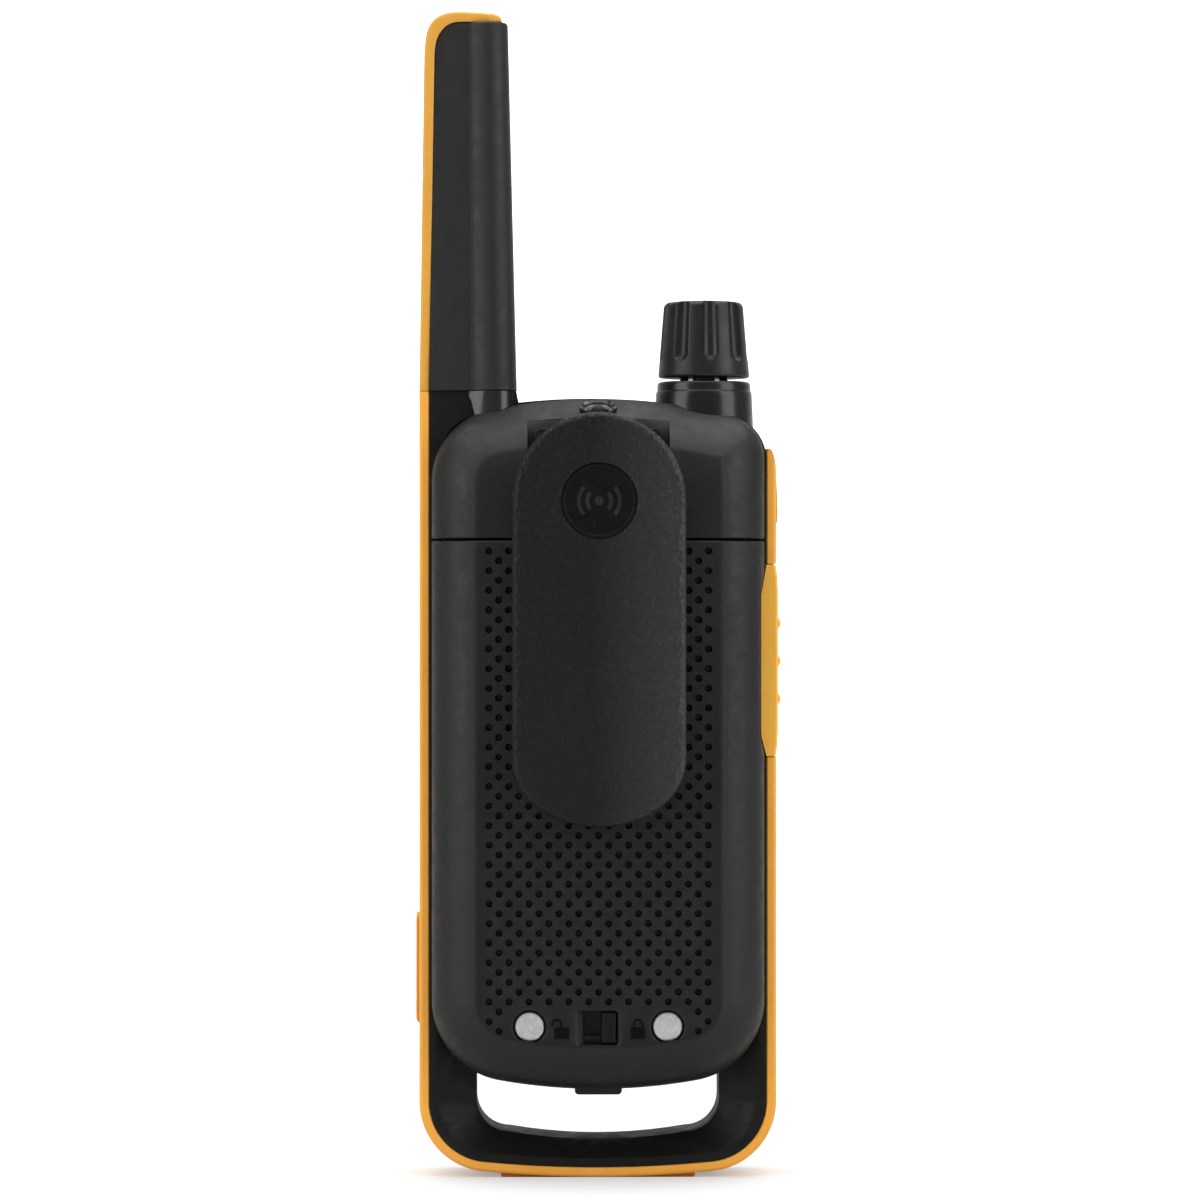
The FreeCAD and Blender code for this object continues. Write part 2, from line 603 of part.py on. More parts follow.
def door_lock():
    thumb_y = 13.15
    lock = box(-2.95, -0.55, 10.6, thumb_y, 23.75, 29.05)
    lock = fillet_where(lock, at_y(thumb_y), 0.45)
    lock = lock.fuse(box(-8.15, 4.05, 9.7, 10.8, 22.8, 29.95))   # slide
    lock = lock.fuse(box(-7.6, -5.6, 3.4, 9.8, 24.0, 28.0))      # leg
    lock = lock.fuse(box(-9.3, -5.6, 3.4, 4.6, 24.0, 28.0))      # foot
    return lock.removeSplitter()


def charge_contacts():
    contacts = []
    for side in SIDES:
        x = side * CONTACT_X
        contact = fillet_where(cyl(CONTACT_R, 1.1, (x, 11.65, CONTACT_Z), Y), at_y(12.75), 0.2)
        contacts.append(contact.fuse(cyl(1.2, 3.4, (x, 8.3, CONTACT_Z), Y)))
    return Part.makeCompound(contacts)


# ---------------------------------------------------------------- chassis and battery
CELL_R, CELL_L = 7.15, 49.4
CELL_Y = 4.3
CELL_PITCH = 14.7
CELL_XS = [k * CELL_PITCH for k in (-1, 0, 1)]
CELL_Z_OUTER, CELL_Z_MIDDLE = 46.9, 45.6     # lower ends; the middle cell points down
BAY_HALF = 22.6
BAY_Z0, BAY_Z1 = 42.5, 99.4
BAY_END = 1.4        # thickness of the bay's end walls
BAY_SIDE = 0.6       # thickness of the bay's side walls
CHASSIS_Y = 0.9      # front face of the chassis plate
CHASSIS_BACK = 2.4   # rear face of the chassis plate


def battery_chassis():
    chassis = prism(front_outline(RIM_T + FWALL + 1.0, CHASSIS_Y, stub=False), Vector(0, 1.5, 0))
    chassis = chassis.common(box(-FAR, FAR, 0, 3, 20.0, 128.5))
    chassis = chassis.common(low_limit(3.0, 94.9))
    # clearances for the torch and the volume collar
    chassis = chassis.cut(box(-4.3, 4.3, 0, 3, 122.5, 130))
    chassis = chassis.cut(cyl(9.4, 40, (KNOB_X, KNOB_Y, 110.0), Z))
    # battery bay
    inner_z0, inner_z1 = BAY_Z0 + BAY_END, BAY_Z1 - BAY_END
    inner_x = BAY_HALF - BAY_SIDE
    for wall in (
        (-BAY_HALF, BAY_HALF, -4.2, CHASSIS_BACK, BAY_Z0, BAY_Z1),
        (-BAY_HALF, BAY_HALF, CHASSIS_Y, 8.8, BAY_Z0, inner_z0),
        (-BAY_HALF, BAY_HALF, CHASSIS_Y, 8.8, inner_z1, BAY_Z1),
        (-BAY_HALF, -inner_x, CHASSIS_Y, 6.5, BAY_Z0, BAY_Z1),
        (inner_x, BAY_HALF, CHASSIS_Y, 6.5, BAY_Z0, BAY_Z1),
    ):
        chassis = chassis.fuse(box(*wall))
    for x in CELL_XS:
        chassis = chassis.cut(cyl(7.33, inner_z1 - inner_z0, (x, CELL_Y, inner_z0), Z))
    # screw holes
    for x, z in BOSSES:
        chassis = chassis.cut(cyl(1.1, 4, (x, 0, z), Y))
    for side in SIDES:
        chassis = chassis.cut(cyl(0.86, 4, (side * TAB_X, 0, TAB_Z), Y))
    # keeper for the lock's foot
    chassis = chassis.fuse(box(-11.6, -10.4, CHASSIS_BACK, 6.2, 24.2, 27.8))
    chassis = chassis.fuse(box(-10.4, -8.2, 5.0, 6.2, 24.2, 27.8))
    # rectangular window above the bay
    return chassis.cut(box(-8.0, 8.0, 0, 3, 110.5, 118.0)).removeSplitter()


def battery_cells():
    nub_l = 1.1
    cells = []
    for x in CELL_XS:
        points_up = x != 0
        z = CELL_Z_OUTER if points_up else CELL_Z_MIDDLE
        nub_z = z + CELL_L if points_up else z - nub_l
        cell = fillet_where(cyl(CELL_R, CELL_L, (x, CELL_Y, z), Z), is_circle, 0.5)
        cells.append(cell.fuse(cyl(2.65, nub_l, (x, CELL_Y, nub_z), Z)))
    return Part.makeCompound(cells)


def battery_contacts():
    """Contact plates at both ends of the bay."""
    plate_t = 0.5
    lower_z = BAY_Z0 + BAY_END + 0.05
    upper_z = BAY_Z1 - BAY_END - 0.05 - plate_t
    return Part.makeCompound([box(x - 4.4, x + 4.4, 0.6, 8.6, z, z + plate_t)
                              for z in (upper_z, lower_z) for x in CELL_XS])


def bay_spring(x, z):
    """Three wire turns joined by short risers."""
    turn_r, wire_r, first_z, rise = 3.2, 0.22, 0.24, 0.70
    spring = Part.makeTorus(turn_r, wire_r, Vector(0, 0, first_z), Z)
    for k in (1, 2):
        spring = spring.fuse(Part.makeTorus(turn_r, wire_r, Vector(0, 0, first_z + rise * k), Z))
    for k, degrees in enumerate((20.0, 200.0)):
        angle = math.radians(degrees)
        foot = (turn_r * math.cos(angle), turn_r * math.sin(angle), first_z + rise * k)
        spring = spring.fuse(cyl(0.17, rise, foot, Z))
    spring.translate(Vector(x, CELL_Y, z))
    return spring


def battery_springs():
    """One spring at the flat end of each cell."""
    return Part.makeCompound([bay_spring(x, 95.3 if x == 0 else 44.6) for x in CELL_XS])


def battery_seal():
    half_w, z0, z1, width = 24.6, 40.6, 101.3, 1.1
    inner_x = half_w - width
    return box(-half_w, half_w, 2.45, 3.3, z0, z1).cut(
        box(-inner_x, inner_x, 2, 4, z0 + width, z1 - width))


# ---------------------------------------------------------------- housing seal and screws
def housing_seal():
    inset = RIM_T + FWALL
    seal = prism(front_outline(inset + 0.06, 0.95, stub=False), Vector(0, 1.3, 0))
    seal = seal.cut(prism(front_outline(inset + 0.94, 0.5, stub=False), Vector(0, 3, 0)))
    seal = seal.common(box(-FAR, FAR, 0, 3, LOW_Z + 0.3, 121.5))
    seal = seal.cut(cyl(9.5, 40, (KNOB_X, KNOB_Y, 100.0), Z))
    return seal.cut(box(-30, -20, -8, 4, PTT_Z0 - 1.0, PTT_Z1 + 1.0))


def screw(x, z, head_y, length):
    """Cross-head screw that points towards -Y."""
    body = cyl(1.85, 1.15, (x, head_y, z), Y).fuse(cyl(0.85, length, (x, head_y - length, z), Y))
    for degrees in (0, 90):
        groove = box(-1.15, 1.15, head_y + 0.55, head_y + 2, -0.19, 0.19)
        groove.rotate(ORIGIN, Y, degrees)
        groove.translate(Vector(x, 0, z))
        body = body.cut(groove)
    return body


def housing_screws():
    return Part.makeCompound([screw(x, z, 2.42, 8.5) for x, z in BOSSES]
                             + [screw(side * TAB_X, TAB_Z, 4.02, 3.0) for side in SIDES])


# ---------------------------------------------------------------- antenna
ANT_BASE_Z = STUB_Z + 0.05
# Waste outside the cover's rounded tip: x, z
TIP_CUT = [
    (30, 190), (30, 200), (23.0, 200), (24.3, 197.0), (25.4, 196.75), (26.3, 196.1),
    (27.0, 195.1), (27.4, 193.8), (27.62, 191.5), (28.0, 190),
]
# Edge trim, outer side up and inner side back down: x, z
TRIM = [
    (30.4, ANT_BASE_Z), (29.72, 192.2), (29.5, 194.2), (28.8, 196.0), (27.7, 197.3),
    (26.3, 198.1), (24.7, 198.4), (17.4, 198.1), (16.4, 197.8), (16.0, 197.05),
    (24.32, 197.05), (25.45, 196.82), (26.37, 196.16), (27.08, 195.14), (27.5, 193.82),
    (27.66, 191.5), (28.74, ANT_BASE_Z),
]
TRIM_Y0, TRIM_Y1 = -4.0, 2.6


def antenna_cover():
    cover = loft([section(ANT_SEAM, ANT_BASE_Z), section(ANT_TIP, 197.0)])
    cover = cover.cut(xz_prism(TIP_CUT, -10, 10))
    return cover.cut(cyl(2.35, 56.5, (ANT_X, ANT_Y, STUB_Z - 1), Z))


def trim_outer_edge(edge):
    centre = edge.CenterOfMass
    on_face = at_y(TRIM_Y0)(edge) or at_y(TRIM_Y1)(edge)
    return on_face and (centre.x > 29.6 or centre.z > 197.2) and edge.Length > 0.8


def antenna_trim():
    return fillet_where(xz_prism(TRIM, TRIM_Y0, TRIM_Y1), trim_outer_edge, 0.45)


def antenna_core():
    return cyl(1.05, 60.5, (ANT_X, ANT_Y, 127.0), Z).fuse(cyl(2.2, 2.0, (ANT_X, ANT_Y, 131.3), Z))


def antenna_coil():
    coil = helix_coil(radius=1.68, pitch=2.6, height=46.0, wire_r=0.3)
    coil.translate(Vector(ANT_X, ANT_Y, 138.0))
    return coil


def antenna_feed():
    strip = box(ANT_X - 2.0, ANT_X + 2.0, -5.35, -4.9, 121.0, 126.9)
    return strip.fuse(box(ANT_X - 1.2, ANT_X + 1.2, -5.3, ANT_Y + 1.2, 126.4, 126.9))


# ---------------------------------------------------------------- volume knob
KNOB_R0, KNOB_R1 = 7.8, 6.8        # knob radius at the bottom and the top
KNOB_Z0, KNOB_Z1 = 136.3, 149.3
BORE_R = 1.25        # shaft bore of the knob
BORE_TOP = KNOB_Z1 - 2.6
KNOB_AT = Vector(KNOB_X, KNOB_Y, 0)
# Collar section: radius, z
COLLAR = [
    (1.32, 134.6), (1.32, 131.0), (6.6, 131.0), (6.6, 124.0), (8.6, 124.0), (8.62, 127.0),
    (8.5, 129.6), (8.2, 133.9), (8.0, 134.1), (7.95, 135.2), (7.6, 135.6), (4.6, 135.6),
    (4.6, 132.6), (2.3, 132.6), (2.3, 134.6),
]


def knob_collar():
    collar = turned(COLLAR)
    collar.translate(KNOB_AT)
    return collar


def path(points):
    """Straight edges through (radius, z) points in the XZ plane."""
    places = [Vector(radius, 0, z) for radius, z in points]
    return [line(start, end) for start, end in zip(places, places[1:])]


def volume_knob():
    rim_low, rim_high = (KNOB_R1 + 0.09, KNOB_Z1 - 1.2), (KNOB_R1 - 1.15, KNOB_Z1)
    edges = path([(BORE_R, KNOB_Z0), (KNOB_R0 - 0.25, KNOB_Z0), (KNOB_R0, KNOB_Z0 + 0.3), rim_low])
    edges.append(arc(Vector(rim_low[0], 0, rim_low[1]), Vector(KNOB_R1 - 0.28, 0, KNOB_Z1 - 0.36),
                     Vector(rim_high[0], 0, rim_high[1])))
    edges += path([rim_high, (0, KNOB_Z1 + 0.15), (0, BORE_TOP), (BORE_R, BORE_TOP),
                   (BORE_R, KNOB_Z0)])
    knob = Part.Face(Part.Wire(edges)).revolve(ORIGIN, Z, 360)
    # flutes follow the taper: slanted cylinders with a round lower end
    flutes, flute_r = 9, 1.5
    for k in range(flutes):
        angle = math.radians(90 + 6.4 + 360 / flutes * k)
        low_r, high_r = KNOB_R0 + 0.62, KNOB_R1 + 0.50
        base = Vector(low_r * math.cos(angle), low_r * math.sin(angle), KNOB_Z0 + 4.1)
        top = Vector(high_r * math.cos(angle), high_r * math.sin(angle), KNOB_Z1 + 1.0)
        slant = top - base
        flute = Part.makeCylinder(flute_r, slant.Length, base, slant)
        knob = knob.cut(flute.fuse(Part.makeSphere(flute_r, base)))
    # four fingers that reach down into the collar
    for k in range(4):
        finger = tube(4.1, 2.7, 3.4, (0, 0, KNOB_Z0 - 3.2), Z)
        finger = finger.common(box(0, 6, -0.9, 0.9, KNOB_Z0 - 4, KNOB_Z0 + 1))
        finger.rotate(ORIGIN, Z, 90 * k)
        knob = knob.fuse(finger)
    knob.translate(KNOB_AT)
    return knob


def volume_shaft():
    return cyl(1.22, 28.0, (KNOB_X, KNOB_Y, 118.5), Z)


def volume_switch():
    switch = box(KNOB_X - 4.5, KNOB_X + 4.5, -7.6, 0.6, 114.0, 121.5)
    switch = switch.fuse(cyl(3.0, 2.2, (KNOB_X, KNOB_Y, 121.5), Z))
    return switch.cut(cyl(1.27, 20, (KNOB_X, KNOB_Y, 118.3), Z))


# ---------------------------------------------------------------- side keys and port cover
# Talk key seen from the front: x, z
PTT_FACE = [
    (-28.7, PTT_Z0), (-30.3, PTT_Z0), (-30.6, PTT_Z0 + 2.0), (-30.7, PTT_Z0 + 4.5),
    (-30.7, PTT_Z1 - 4.5), (-30.6, PTT_Z1 - 2.0), (-30.3, PTT_Z1), (-28.7, PTT_Z1),
    (-27.8, PTT_Z1 - 5.2), (-27.8, PTT_Z0 + 3.6),
]
PTT_Y0, PTT_Y1 = -7.3, 2.5
# Light key seen from the front; its outer face swells towards the lower end: x, z
LIGHT_FACE = [
    (-27.0, 110.0), (-30.45, 110.0), (-30.5, 111.0), (-30.66, 111.8), (-30.7, 113.4),
    (-30.64, 116.0), (-30.5, 118.6), (-30.3, 120.8), (-30.2, 122.0), (-27.0, 122.0),
]


def ptt_outer_edge(edge):
    return (at_y(PTT_Y1)(edge) or at_y(PTT_Y0)(edge)) and edge.CenterOfMass.x < -30.2


def ptt_button():
    button = fillet_where(xz_prism(PTT_FACE, PTT_Y0, PTT_Y1), ptt_outer_edge, 0.5)
    for z in (94.35, 87.9, 81.5):
        rib = cyl(1.15, 6.6, (-30.07, -5.7, z), Y)
        button = button.fuse(fillet_where(rib, is_circle, 0.3))
    # inner block and its retaining flange
    button = button.fuse(box(-27.9, -26.3, -7.2, -1.0, 78.0, 98.0))
    return button.fuse(box(-26.8, -26.2, -8.5, -1.0, 78.0, 98.0)).removeSplitter()


def light_button():
    button = side_plate(-31.4, -28.3, 3.1, 110.9, 121.4, 2.6)
    button = button.common(xz_prism(LIGHT_FACE, -7.0, 2.0))
    # inner block and its retaining flange
    button = button.fuse(box(-28.4, -26.3, -5.4, 0.4, 112.6, 119.8))
    return button.fuse(box(-26.8, -26.2, -6.6, 0.4, 112.6, 119.8)).removeSplitter()


def port_cover():
    inner_x, outer_x, half_y = 28.8, 30.95, 3.8
    hinge_x, hinge_z = 29.9, 27.2
    y0, y1 = SIDE_Y - half_y, SIDE_Y + half_y
    cover = side_plate(inner_x, outer_x, half_y, hinge_z, 44.8, 1.2)
    cover = cover.fuse(box(inner_x, outer_x, y0, y1, hinge_z, 32.0))
    cover = cover.fuse(cyl(1.05, 2 * half_y, (hinge_x, y0, hinge_z), Y))
    # The edges come from a separately cleaned copy, which decides which ones the fillet finds.
    outer_edges = [edge for edge in cover.removeSplitter().Edges
                   if abs(edge.CenterOfMass.x - outer_x) < 0.01 and edge.CenterOfMass.z > 33]
    cover = fillet(cover.removeSplitter(), outer_edges, 0.4)
    # plugs for the two ports
    cover = cover.fuse(block(28.1, 28.9, SIDE_Y, USB_Z, 1.0, 3.1))
    return cover.fuse(cyl(0.9, 0.8, (28.1, SIDE_Y, JACK_Z), X)).removeSplitter()


# ---------------------------------------------------------------- front keys
def key(x, z, half_w, half_h):
    radius, face_y, flange = min(half_w, half_h) * 0.8, -14.15, 0.7
    cap = plate(x, z, half_w, half_h, face_y, -11.3, radius)
    cap = fillet_where(cap, at_y(face_y), 0.45)
    base = plate(x, z, half_w + flange, half_h + flange, -11.5, -10.8, radius + 0.4)
    return cap.fuse(base).fuse(cyl(1.4, 1.7, (x, -10.9, z), Y)).removeSplitter()


def keypad_membrane():
    membrane = plate(0, KEYPAD_Z, 19.0, 12.5, -8.5, -7.8, 2.5)
    for x, z, _, _ in KEYS.values():
        membrane = membrane.fuse(cyl(1.1, 1.0, (x, -7.9, z), Y))
    return membrane


# ---------------------------------------------------------------- display, speaker, microphone
# Speaker sections: radius, distance behind SPEAKER_Y
SPEAKER_CONE = [
    (0.0, 0.2), (2.4, 0.45), (4.2, 1.0), (12.4, -0.35), (14.4, -0.65), (14.4, -0.25),
    (12.5, 0.05), (4.2, 1.4), (0.0, 1.4),
]
SPEAKER_FRAME = [
    (14.4, -0.9), (15.6, -0.9), (15.6, 0.5), (13.4, 1.5), (7.8, 2.2), (7.8, 3.4), (0, 3.4),
    (0, 1.7), (4.6, 1.7), (12.6, 0.4), (14.4, 0.0),
]
SPEAKER_Y = -10.1


def display_window():
    return plate(0, DISPLAY_Z, *WINDOW_HALF, -13.45, -12.45, 3.0)


def display_module():
    return plate(0, DISPLAY_Z, 15.5, 10.8, -11.6, -8.4, 0.6)


def speaker_part(points):
    part = turned(points)
    part.rotate(ORIGIN, X, -90)       # local +Z becomes +Y
    part.translate(Vector(0, SPEAKER_Y, SPEAKER_Z))
    return part


def speaker_cone():
    return speaker_part(SPEAKER_CONE)


def speaker_frame():
    return speaker_part(SPEAKER_FRAME)


def speaker_mesh():
    return cyl(15.9, 0.35, (0, -11.65, SPEAKER_Z), Y)


def microphone():
    return tube_with_floor(2.0, 0.6, 2.2, 0.8, (MIC_X, -11.6, MIC_Z), Y)


def tube_with_floor(outer_r, inner_r, length, depth, base, axis):
    """Cylinder with a blind hole in its base end."""
    return cyl(outer_r, length, base, axis).cut(cyl(inner_r, depth, base, axis))


# ---------------------------------------------------------------- electronics
BOARD_Y = -5.4       # rear face of the main board
# Cut-outs of the board: x0, x1, y0, y1, z0, z1
BOARD_CUTS = [
    (-30, -8.5, -8, 0, 107.0, 130),     # volume switch
    (20.0, 30, -8, 0, 27.0, 46.0),      # ports
    (18.7, 30, -8, 0, 20, 27.4),        # lower corner, +X
    (-30, -18.7, -8, 0, 20, 27.4),      # lower corner, -X
]
# Chips: x0, x1, rear face y, z0, z1
CHIPS = [
    (-16, -6, -4.6, 66, 76), (2, 14, -4.5, 62, 74), (-14, -8, -4.7, 84, 92),
    (6, 11, -4.6, 84, 91), (-19, -12, -3.2, 28, 36), (-6, -1, -3.4, 26, 31),
]


def main_board():
    board = box(-21.2, 21.2, -6.6, BOARD_Y, 22.0, 127.0)
    for cut in BOARD_CUTS:
        board = board.cut(box(*cut))
    return board


def board_chips():
    return Part.makeCompound([box(x0, x1, BOARD_Y, y1, z0, z1) for x0, x1, y1, z0, z1 in CHIPS])


def shield_can():
    top_y, wall = -3.2, 0.3
    x0, x1, z0, z1 = -6.5, 13.5, 103.0, 124.0
    can = box(x0, x1, BOARD_Y, top_y, z0, z1)
    can = can.cut(box(x0 + wall, x1 - wall, BOARD_Y - 0.1, top_y - wall, z0 + wall, z1 - wall))
    return fillet_where(can, at_y(top_y), 0.25)


def usb_port():
    shell = block(20.6, 27.9, SIDE_Y, USB_Z, 1.6, 4.1)
    shell = shell.cut(block(22.0, 29, SIDE_Y, USB_Z, 1.35, 3.75))
    return shell.fuse(block(21.9, 26.6, SIDE_Y, USB_Z, 0.3, 2.4))


def accessory_jack():
    body = cyl(2.3, 7.3, (20.6, SIDE_Y, JACK_Z), X)
    return body.cut(cyl(1.3, 6.5, (21.6, SIDE_Y, JACK_Z), X))


def side_switches():
    return Part.makeCompound([
        block(-24.4, -23.05, SIDE_Y, z, 1.9, 3.0).fuse(cyl(1.0, 0.75, (-25.1, SIDE_Y, z), X))
        for z in (88.0, 116.0)])


def side_flex():
    return box(-23.0, -22.78, -4.6, -0.4, 107.6, 120.0)


# ---------------------------------------------------------------- torch
def on_torch_axis(shape):
    """Places a shape built round +Z at the origin onto the torch axis."""
    shape.Placement = FreeCAD.Placement(TORCH, FreeCAD.Rotation(Z, TORCH_DIR))
    return shape


def torch_bezel():
    return on_torch_axis(turned([(3.15, -0.35), (2.45, -0.75), (2.45, -5.2), (3.15, -5.2)]))


def torch_reflector():
    return on_torch_axis(turned([(2.42, -0.9), (2.42, -5.0), (1.6, -5.0), (1.6, -4.4),
                                 (2.2, -0.9)]))


def torch_led():
    radius, base_z, height = 1.45, -5.0, 3.2
    dome = Part.makeSphere(radius, Vector(0, 0, base_z + height))
    return on_torch_axis(cyl(radius, height, (0, 0, base_z), Z).fuse(dome))


# ---------------------------------------------------------------- belt clip
CLIP_HALF = 14.5     # half width of the paddle
CLIP_TOP, CLIP_BOT = 129.6, 60.4
CLIP_Y0, CLIP_Y1 = 18.4, 21.0      # front and rear face of the paddle
CLIP_TAIL = 11.6     # height of the elliptic tail
PIN_Y, PIN_Z = 15.0, 119.5
PIN_R = 1.1
LUG_R, LUG_W = 2.2, 2.0
BADGE_Z = 114.8
BADGE_Y = CLIP_Y1 - 0.75           # floor of the badge recess
# Grip lip across the tail: y, z
GRIP_LIP = [
    (CLIP_Y0 + 0.6, 62.2), (15.6, 63.4), (14.9, 64.6), (15.0, 65.8), (15.8, 66.8),
    (CLIP_Y0 + 0.6, 71.5),
]


def pin_lug(x, y0, y1, side):
    """Lug round the pin, from x outwards, on a web between y0 and y1."""
    web = box(x, x + LUG_W, y0, y1, PIN_Z - LUG_R, PIN_Z + LUG_R)
    return on_side(web.fuse(cyl(LUG_R, LUG_W, (x, PIN_Y, PIN_Z), X)), side)


def pin_hole(radius):
    return cyl(radius, 30, (-15, PIN_Y, PIN_Z), X)


def clip_base():
    top_z = 127.2
    base = box(-10.7, 10.7, 9.35, 10.75, 110.3, top_z)
    base = fillet_where(base, lambda edge: at_z(top_z)(edge) and edge.Length < 2, 1.2)
    for side in SIDES:
        base = base.fuse(pin_lug(6.4, 10.6, PIN_Y, side))
    base = base.cut(pin_hole(PIN_R))
    # two slits free the spring tongue that clicks into the pocket
    base = base.cut(box(-4.6, -3.9, 9, 11, 110.0, 117.5))
    return base.cut(box(3.9, 4.6, 9, 11, 110.0, 117.5)).removeSplitter()


def clip_pin():
    return cyl(PIN_R, 21.6, (-10.8, PIN_Y, PIN_Z), X)


def paddle_outline(grow, y):
    """Paddle outline, grown: semicircular top, straight sides, elliptic tail."""
    half_w = CLIP_HALF + grow
    top_z = CLIP_TOP - CLIP_HALF
    tail_z = CLIP_BOT + CLIP_TAIL
    tail_points = []
    for k in range(25):
        angle = math.pi + math.pi * k / 24
        tail_points.append(Vector(half_w * math.cos(angle), y,
                                  tail_z + (CLIP_TAIL + grow) * math.sin(angle)))
    tail = Part.BSplineCurve()
    tail.interpolate(tail_points)
    return sorted_wire([
        arc(Vector(half_w, y, top_z), Vector(0, y, top_z + half_w), Vector(-half_w, y, top_z)),
        line(Vector(-half_w, y, top_z), Vector(-half_w, y, tail_z)),
        tail.toShape(),
        line(Vector(half_w, y, tail_z), Vector(half_w, y, top_z)),
    ])


def belt_clip():
    # paddle rings: growth, y
    rings = [(-0.35, CLIP_Y0), (0, CLIP_Y0 + 0.5), (0, CLIP_Y1 - 0.9), (-0.35, CLIP_Y1 - 0.25),
             (-0.95, CLIP_Y1)]
    clip = loft([paddle_outline(grow, y) for grow, y in rings])
    clip = clip.fuse(yz_prism(GRIP_LIP, -9.0, 9.0))
    for side in SIDES:
        clip = clip.fuse(pin_lug(8.7, PIN_Y, CLIP_Y0 + 0.4, side))
    clip = clip.cut(pin_hole(PIN_R + 0.05))
    return clip.cut(cyl(6.25, 2, (0, BADGE_Y, BADGE_Z), Y)).removeSplitter()


def clip_badge():
    thickness = 0.6
    badge = cyl(6.2, thickness, (0, BADGE_Y, BADGE_Z), Y)
    return fillet_where(badge, at_y(BADGE_Y + thickness), 0.15)


def clip_spring():
    spring = helix_coil(radius=1.62, pitch=0.82, height=9.6, wire_r=0.3)
    spring.rotate(ORIGIN, Y, 90)      # local +Z becomes +X
    spring.translate(Vector(-4.9, PIN_Y, PIN_Z))
    return spring


# ---------------------------------------------------------------- build
# Each function's name is the name of its part.
for build in (
    front_housing, bumper_rim, foot_pad, rear_housing, battery_door, door_lock,
    charge_contacts, battery_chassis, battery_cells, battery_contacts, battery_springs,
    battery_seal, housing_seal, housing_screws, antenna_cover, antenna_trim, antenna_core,
    antenna_coil, antenna_feed, knob_collar, volume_knob, volume_shaft, volume_switch,
    ptt_button, light_button, port_cover, keypad_membrane, display_window, display_module,
    speaker_cone, speaker_frame, speaker_mesh, microphone, main_board, board_chips,
    shield_can, usb_port, accessory_jack, side_switches, side_flex, torch_bezel,
    torch_reflector, torch_led, clip_base, clip_pin, belt_clip, clip_badge, clip_spring,
):
    save(build.__name__, build())
for key_name, key_plan in KEYS.items():
    save(key_name, key(*key_plan))
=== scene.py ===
"""Hand-held radio seen from behind: battery door, belt clip, volume knob and antenna.

The radio stands upright along +Z. Its back, with the door and the clip, faces +Y and its keys
and display face -Y. Left and right are as seen from behind, so left is +X: the antenna stands
on the left, the knob and the talk key are on the right. Meshes are worked out in millimetres
and scaled to metres by MM; materials and lights are in metres.
"""

import json
import math
from contextlib import contextmanager

import bmesh
import bpy
import numpy as np
from mathutils import Matrix, Vector
from mathutils.geometry import delaunay_2d_cdt


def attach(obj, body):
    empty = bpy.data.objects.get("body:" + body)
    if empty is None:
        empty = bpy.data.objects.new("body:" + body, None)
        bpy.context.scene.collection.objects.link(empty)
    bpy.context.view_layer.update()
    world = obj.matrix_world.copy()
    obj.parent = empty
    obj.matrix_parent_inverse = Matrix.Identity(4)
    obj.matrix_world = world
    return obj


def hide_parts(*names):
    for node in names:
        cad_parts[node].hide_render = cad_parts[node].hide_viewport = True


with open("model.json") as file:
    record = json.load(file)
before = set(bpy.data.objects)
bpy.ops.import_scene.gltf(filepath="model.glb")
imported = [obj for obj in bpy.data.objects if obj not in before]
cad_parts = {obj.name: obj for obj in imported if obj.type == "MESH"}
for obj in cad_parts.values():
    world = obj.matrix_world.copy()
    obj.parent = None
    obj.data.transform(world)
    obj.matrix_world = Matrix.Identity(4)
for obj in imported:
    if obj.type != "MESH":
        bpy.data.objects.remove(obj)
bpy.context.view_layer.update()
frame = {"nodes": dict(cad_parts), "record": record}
nodes = frame["nodes"]
BODIES = frame["record"]["behaviour"]["bodies"]
BODY_OF = {node: body for body, members in BODIES.items() for node in members}
SLOT_OF = {part["node"]: part["material_slot"] for part in frame["record"]["subparts"]}
MM = 0.001

# Dimensions shared with the design (mm)
HALF_WIDTH = 30.4        # outside of the bumper rim
RIM_THICK = 1.7
RIM_BOTTOM = 0.08
PART_Y = 2.5             # back edge of the rim
SHELL_HALF = 28.2        # half width of the door and the rear housing
SHELL_FRONT = 2.8        # their front edge
BACK_Y = 13.4            # their flat back
FLAT_INSET = 8.05        # from the side to the flat back
FLAT_HALF = SHELL_HALF - FLAT_INSET
DOOR_BOTTOM, DOOR_TOP = 15.4, 108.25
REAR_BOTTOM, TOP_Z = 108.7, 132.5
CONTACT_X, CONTACT_Z = 11.6, 26.6
LOCK_Z = 26.35
KNOB = (-18.2, -3.0)     # x, y of the knob's axis
TORCH = Vector((0, 6.2, 131.5))
TORCH_AXIS = Vector((0, math.cos(math.radians(66)), math.sin(math.radians(66))))
BADGE_Z = 114.8
PIN_Y, PIN_Z = 15.0, 119.5


# ============================================================================ shader helper
MATERIALS = {}
MID = (0.3, 0.7)         # the span most noise values fall in


def scaled(color, gain, lift=0.0):
    return tuple(min(1, c * gain + lift) for c in color)


